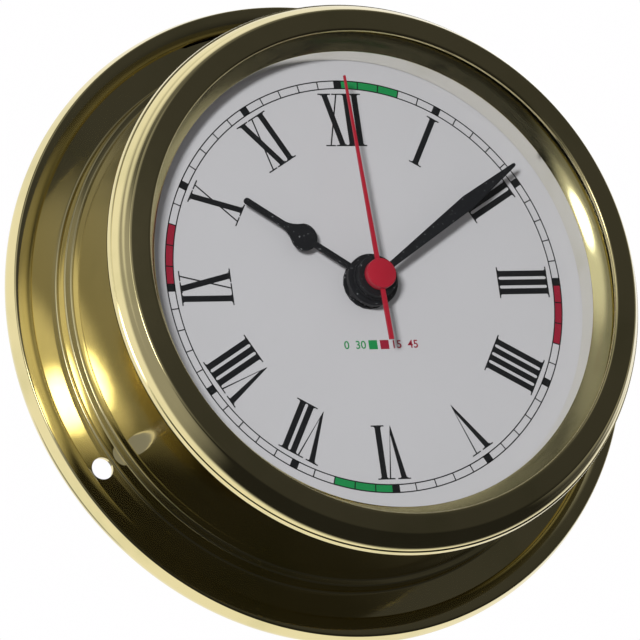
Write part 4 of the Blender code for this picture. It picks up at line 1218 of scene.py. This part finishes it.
@dataclass
class Dial:
    """The painted plate and all that is printed on it."""

    shop: Workshop
    bore: float = 4.3
    radius: float = 59.9
    rear: float = 29.2
    front: float = 30.2
    track: MinuteTrack = field(default_factory=MinuteTrack)
    numerals: Numerals = field(default_factory=Numerals)
    green_from: tuple[float, ...] = (0.0, 180.0)
    red_from: tuple[float, ...] = (90.0, 270.0)
    sector: float = 18.0
    sector_steps: int = 24
    sector_front: float = 30.21
    edge: float = 0.1
    legend_height: float = -13.9
    legend_square: float = 2.1
    squares_at: Point = (-0.5, 2.3)
    numbers_at: Point = (-2.2, 3.9)
    number_size: float = 2.6
    number_weight: float = 0.03
    number_drop: float = 0.85
    number_depth: float = 30.205
    number_relief: float = 0.01

    def plate(self) -> bpy.types.Object:
        """Turns the plate.

        Returns:
            The plate's skin.
        """
        line = Profile((self.bore, self.rear), (self.radius, self.rear))
        line.to((self.radius, self.front - self.edge), (self.radius - self.edge, self.front))
        line.to((self.bore, self.front))
        return turned("dial_face", line.points, self.shop.finishes[Slot.DIAL_PAINT])

    def sectors(self, name: str, starts: tuple[float, ...], ink: Ink) -> bpy.types.Object:
        """Prints coloured sectors between the track's circles.

        Args:
            name: The object's name.
            starts: The clock angle at which each starts.
            ink: Their ink.

        Returns:
            One mesh.
        """
        sheet = Sheet()
        low, high = self.track.inner, self.track.outer
        for start in starts:
            angles = [start + self.sector * step / self.sector_steps
                      for step in range(self.sector_steps + 1)]
            outline = [place(low, angle, 0.0) for angle in angles]
            outline += [place(high, angle, 0.0) for angle in reversed(angles)]
            sheet.plate(outline, INK_REAR, self.sector_front)
        return sheet.finish(name, self.shop.inks[ink])

    def words(self, name: str, text: str, end: float, align: str, ink: Ink
              ) -> bpy.types.Object:
        """Prints plain numbers.

        Args:
            name: The object's name.
            text: The numbers.
            end: Where they end or start, in millimetres from the arbor.
            align: RIGHT to end there, LEFT to start there.
            ink: Their ink.

        Returns:
            Their mesh.
        """
        curve = bpy.data.curves.new(name, "FONT")
        curve.body = text
        curve.size = self.number_size
        curve.offset = self.number_weight
        curve.align_x = align
        curve.extrude = self.number_relief
        mesh = settle(hang(name, curve), self.shop.inks[ink])
        stand = Matrix.Rotation(math.pi / 2, 4, "X")
        at = Vector((end, -self.number_depth, self.legend_height - self.number_drop)) * MM
        mesh.transform(Matrix.Translation(at) @ Matrix.Scale(MM, 4) @ stand)
        return hang(name, mesh)

    def square(self, name: str, middle: float, ink: Ink) -> bpy.types.Object:
        """Prints a square of the legend.

        Args:
            name: The object's name.
            middle: Its place to the right of the arbor.
            ink: Its ink.

        Returns:
            Its mesh.
        """
        half = self.legend_square / 2
        corners = [(middle - half, -half), (middle + half, -half), (middle + half, half),
                   (middle - half, half)]
        sheet = Sheet()
        sheet.plate([Vector((x, 0.0, z + self.legend_height)) * MM for x, z in corners],
                    INK_REAR, INK_FRONT)
        return sheet.finish(name, self.shop.inks[ink])

    def build(self) -> None:
        """Prints the dial and seats it."""
        self.shop.seat(self.plate(), "case", Slot.DIAL_PAINT, "dial_plate")
        black = self.shop.inks[Ink.BLACK]
        prints = [self.track.build(black), self.numerals.build(black),
                  self.sectors("sectors_green", self.green_from, Ink.GREEN),
                  self.sectors("sectors_red", self.red_from, Ink.RED),
                  self.square("legend_green", self.squares_at[0], Ink.GREEN),
                  self.square("legend_red", self.squares_at[1], Ink.RED),
                  self.words("numbers_green", "0  30", self.numbers_at[0], "RIGHT", Ink.GREEN),
                  self.words("numbers_red", "15  45", self.numbers_at[1], "LEFT", Ink.RED)]
        for made in prints:
            self.shop.seat(made, "case", Slot.DIAL_PAINT)


@dataclass
class Hands:
    """The three hands, each a blade on its boss."""

    shop: Workshop
    hour_angle: float = 304.3
    minute_angle: float = 55.7
    second_angle: float = 358.0
    hour_length: float = 33.9
    hour_stem: float = 1.5
    bulb_centre: float = 18.1
    bulb_radius: float = 3.15
    bulb_span: float = 60.0
    bulb_taper: float = 4.4
    minute_line: tuple[Point, ...] = ((0.0, 0.8), (6.3, 0.8), (30.5, 1.75), (45.95, 0.45),
                                      (46.4, 0.225))
    second_line: tuple[Point, ...] = ((-15.0, 0.55), (0.0, 0.55), (46.4, 0.25))
    soft_edge: float = 0.08
    hour_blade: Point = (33.1, 33.6)
    minute_blade: Point = (35.4, 35.9)
    second_blade: Point = (37.6, 38.1)
    hour_boss: tuple[Point, ...] = ((0.0, 33.0), (6.0, 33.0), (6.0, 34.0), (5.85, 34.15),
                                    (5.0, 34.2), (4.95, 34.75), (4.8, 34.9), (0.0, 34.9))
    minute_boss: tuple[Point, ...] = ((0.0, 35.3), (4.7, 35.3), (4.7, 36.65), (4.55, 36.8),
                                      (0.0, 36.8))
    second_boss: tuple[Point, ...] = ((0.0, 37.2), (3.45, 37.2), (3.45, 38.75), (3.38, 38.93),
                                      (3.2, 39.0), (0.0, 39.0))
    boss_steps: int = 96

    def hour_line(self) -> list[Point]:
        """Draws half of the hour hand: stem, round bulb, hollow taper and rounded tip.

        Returns:
            Its half widths, as (distance from the arbor, half width).
        """
        half = self.hour_stem / 2
        line = [(0.0, half)]
        start = math.degrees(math.asin(half / self.bulb_radius))
        round_steps, taper_steps, tip_steps = 24, 12, 6
        for step in range(round_steps + 1):
            turn = math.radians(start + (180.0 - self.bulb_span - start) * step / round_steps)
            line.append((self.bulb_centre - self.bulb_radius * math.cos(turn),
                         self.bulb_radius * math.sin(turn)))
        along, wide = line[-1]
        for step in range(1, taper_steps + 1):
            share = step / taper_steps
            line.append((along + self.bulb_taper * share, half + (wide - half) * (1 - share) ** 2))
        for step in range(tip_steps + 1):
            turn = math.radians(90.0 / tip_steps * step)
            line.append((self.hour_length - half + half * math.sin(turn), half * math.cos(turn)))
        return line

    def build(self) -> None:
        """Cuts the hands and seats them."""
        hands = (("hour", Slot.HAND_BLACK, self.hour_angle, self.hour_line(), self.hour_blade,
                  self.hour_boss),
                 ("minute", Slot.HAND_BLACK, self.minute_angle, self.minute_line,
                  self.minute_blade, self.minute_boss),
                 ("second", Slot.HAND_RED, self.second_angle, self.second_line,
                  self.second_blade, self.second_boss))
        for name, slot, angle, line, blade, boss in hands:
            outline = [(half, along) for along, half in line]
            outline += [(-half, along) for along, half in reversed(line) if half > ON_AXIS]
            sheet = Sheet()
            sheet.plate(spread(angle, outline), *blade, self.soft_edge)
            sheet.turn(boss, self.boss_steps, open_ends=True)
            piece = sheet.finish(f"{name}_pointer", self.shop.finishes[slot])
            self.shop.seat(piece, name, slot, f"{name}_hand")


@dataclass
class Studio:
    """The pale room, its lamp and the camera of the photograph."""

    camera_at: Place = (-0.5380, -1.1423, -0.3462)
    right: Place = (0.91105, -0.38883, -0.13708)
    up: Place = (0.01641, -0.29803, 0.95442)
    back: Place = (-0.41196, -0.87178, -0.26514)
    lens: float = 325.98
    sensor: float = 36.0
    wall_aim: Place = (-0.35, -0.87, 0.33)
    pane_aim: Place = (-0.50, -0.86, 0.05)
    shade_aim: Place = (-0.435, 0.872, -0.224)
    pane_strength: float = 7.0
    fill: float = 0.25
    tone: Colour = (1.0, 0.995, 1.0)
    lamp_at: Place = (-1.20, -1.87, -0.03)
    lamp_side: float = 0.3
    lamp_watts: float = 47.0

    def camera(self) -> None:
        """Places the camera."""
        data = bpy.data.cameras.new("camera")
        data.lens = self.lens
        data.sensor_width = self.sensor
        data.clip_end = 20.0
        made = hang("camera", data)
        columns = Matrix((self.right, self.up, self.back)).transposed().to_4x4()
        made.matrix_world = Matrix.Translation(self.camera_at) @ columns
        bpy.context.scene.camera = made

    def room(self, graph: Graph) -> Wire:
        """Paints what the brass mirrors: white behind the clock and darker in front of it.

        Args:
            graph: The world's tree.

        Returns:
            The brightness in each direction.
        """
        direction = graph.node("ShaderNodeTexCoord", output="Generated")
        split = graph.node("ShaderNodeSeparateXYZ", inputs={0: direction})
        x, y, z = (Wire(graph, one) for one in split.socket.node.outputs)
        wall, pane, shade = (x * aim[0] + y * aim[1] + z * aim[2]
                             for aim in (self.wall_aim, self.pane_aim, self.shade_aim))
        left, right, above = (0.0 - x).smooth(0.6, 0.9), x.smooth(0.8, 1.0), z.smooth(0.6, 1.0)
        window = (0.0 - x).smooth(0.30, 0.43) * (0.0 - y).smooth(0.5, 0.7)
        window = window * z.smooth(-0.25, -0.05) * (1.0 - z.smooth(0.35, 0.6))
        glow = 0.24 * wall.smooth(0.80, 0.95) + 0.55 * window
        glow = glow + self.pane_strength * pane.smooth(0.985, 0.996)
        behind = (y - 0.3 * x).smooth(0.22, 0.42) * (1.0 - 0.75 * shade.smooth(0.965, 0.985))
        front = 0.018 + 0.03 * z.smooth(-0.3, 0.3) + 0.33 * left
        front = front + 0.10 * above + 0.27 * right + glow
        return front.maths("MAXIMUM", front, behind)

    def world(self) -> None:
        """Shows the camera a white room and the clock's surfaces the painted one."""
        world = bpy.data.worlds.new("room")
        bpy.context.scene.world = world
        world.use_nodes = True
        graph = Graph(world.node_tree)
        paths = graph.node("ShaderNodeLightPath").socket.node.outputs
        camera, glossy, through = (Wire(graph, paths[f"Is {ray} Ray"])
                                   for ray in ("Camera", "Glossy", "Transmission"))
        seen = camera.maths("MAXIMUM", camera, through)
        mirrored = glossy * self.room(graph) + (1.0 - glossy) * self.fill
        surface = graph.node("ShaderNodeBackground", inputs={
            "Color": (*self.tone, 1.0), "Strength": seen + (1.0 - seen) * mirrored})
        graph.node("ShaderNodeOutputWorld", inputs={"Surface": surface})

    def lamp(self) -> None:
        """Hangs a soft square lamp that faces the clock and isn't mirrored."""
        data = bpy.data.lights.new("key", "AREA")
        data.size = self.lamp_side
        data.energy = self.lamp_watts
        made = hang("key", data)
        made.visible_glossy = False
        aim = (-Vector(self.lamp_at)).to_track_quat("-Z", "Y").to_matrix().to_4x4()
        made.matrix_world = Matrix.Translation(self.lamp_at) @ aim

    def build(self) -> None:
        """Sets the room up."""
        bpy.context.scene.view_settings.view_transform = "Standard"
        self.camera()
        self.world()
        self.lamp()


def main() -> None:
    """Builds the clock piece by piece."""
    logging.basicConfig(level=logging.INFO, format="%(message)s")
    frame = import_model()
    for old in list(bpy.data.objects):
        if old.type in ("LIGHT", "CAMERA"):
            bpy.data.objects.remove(old)
    shop = Workshop(frame)
    for assembly in (Case(shop), Bezel(shop), Glazing(shop), Dial(shop), Hands(shop), Studio()):
        assembly.build()
        LOG.info("%s is done", type(assembly).__name__)


if __name__ == "__main__":
    main()
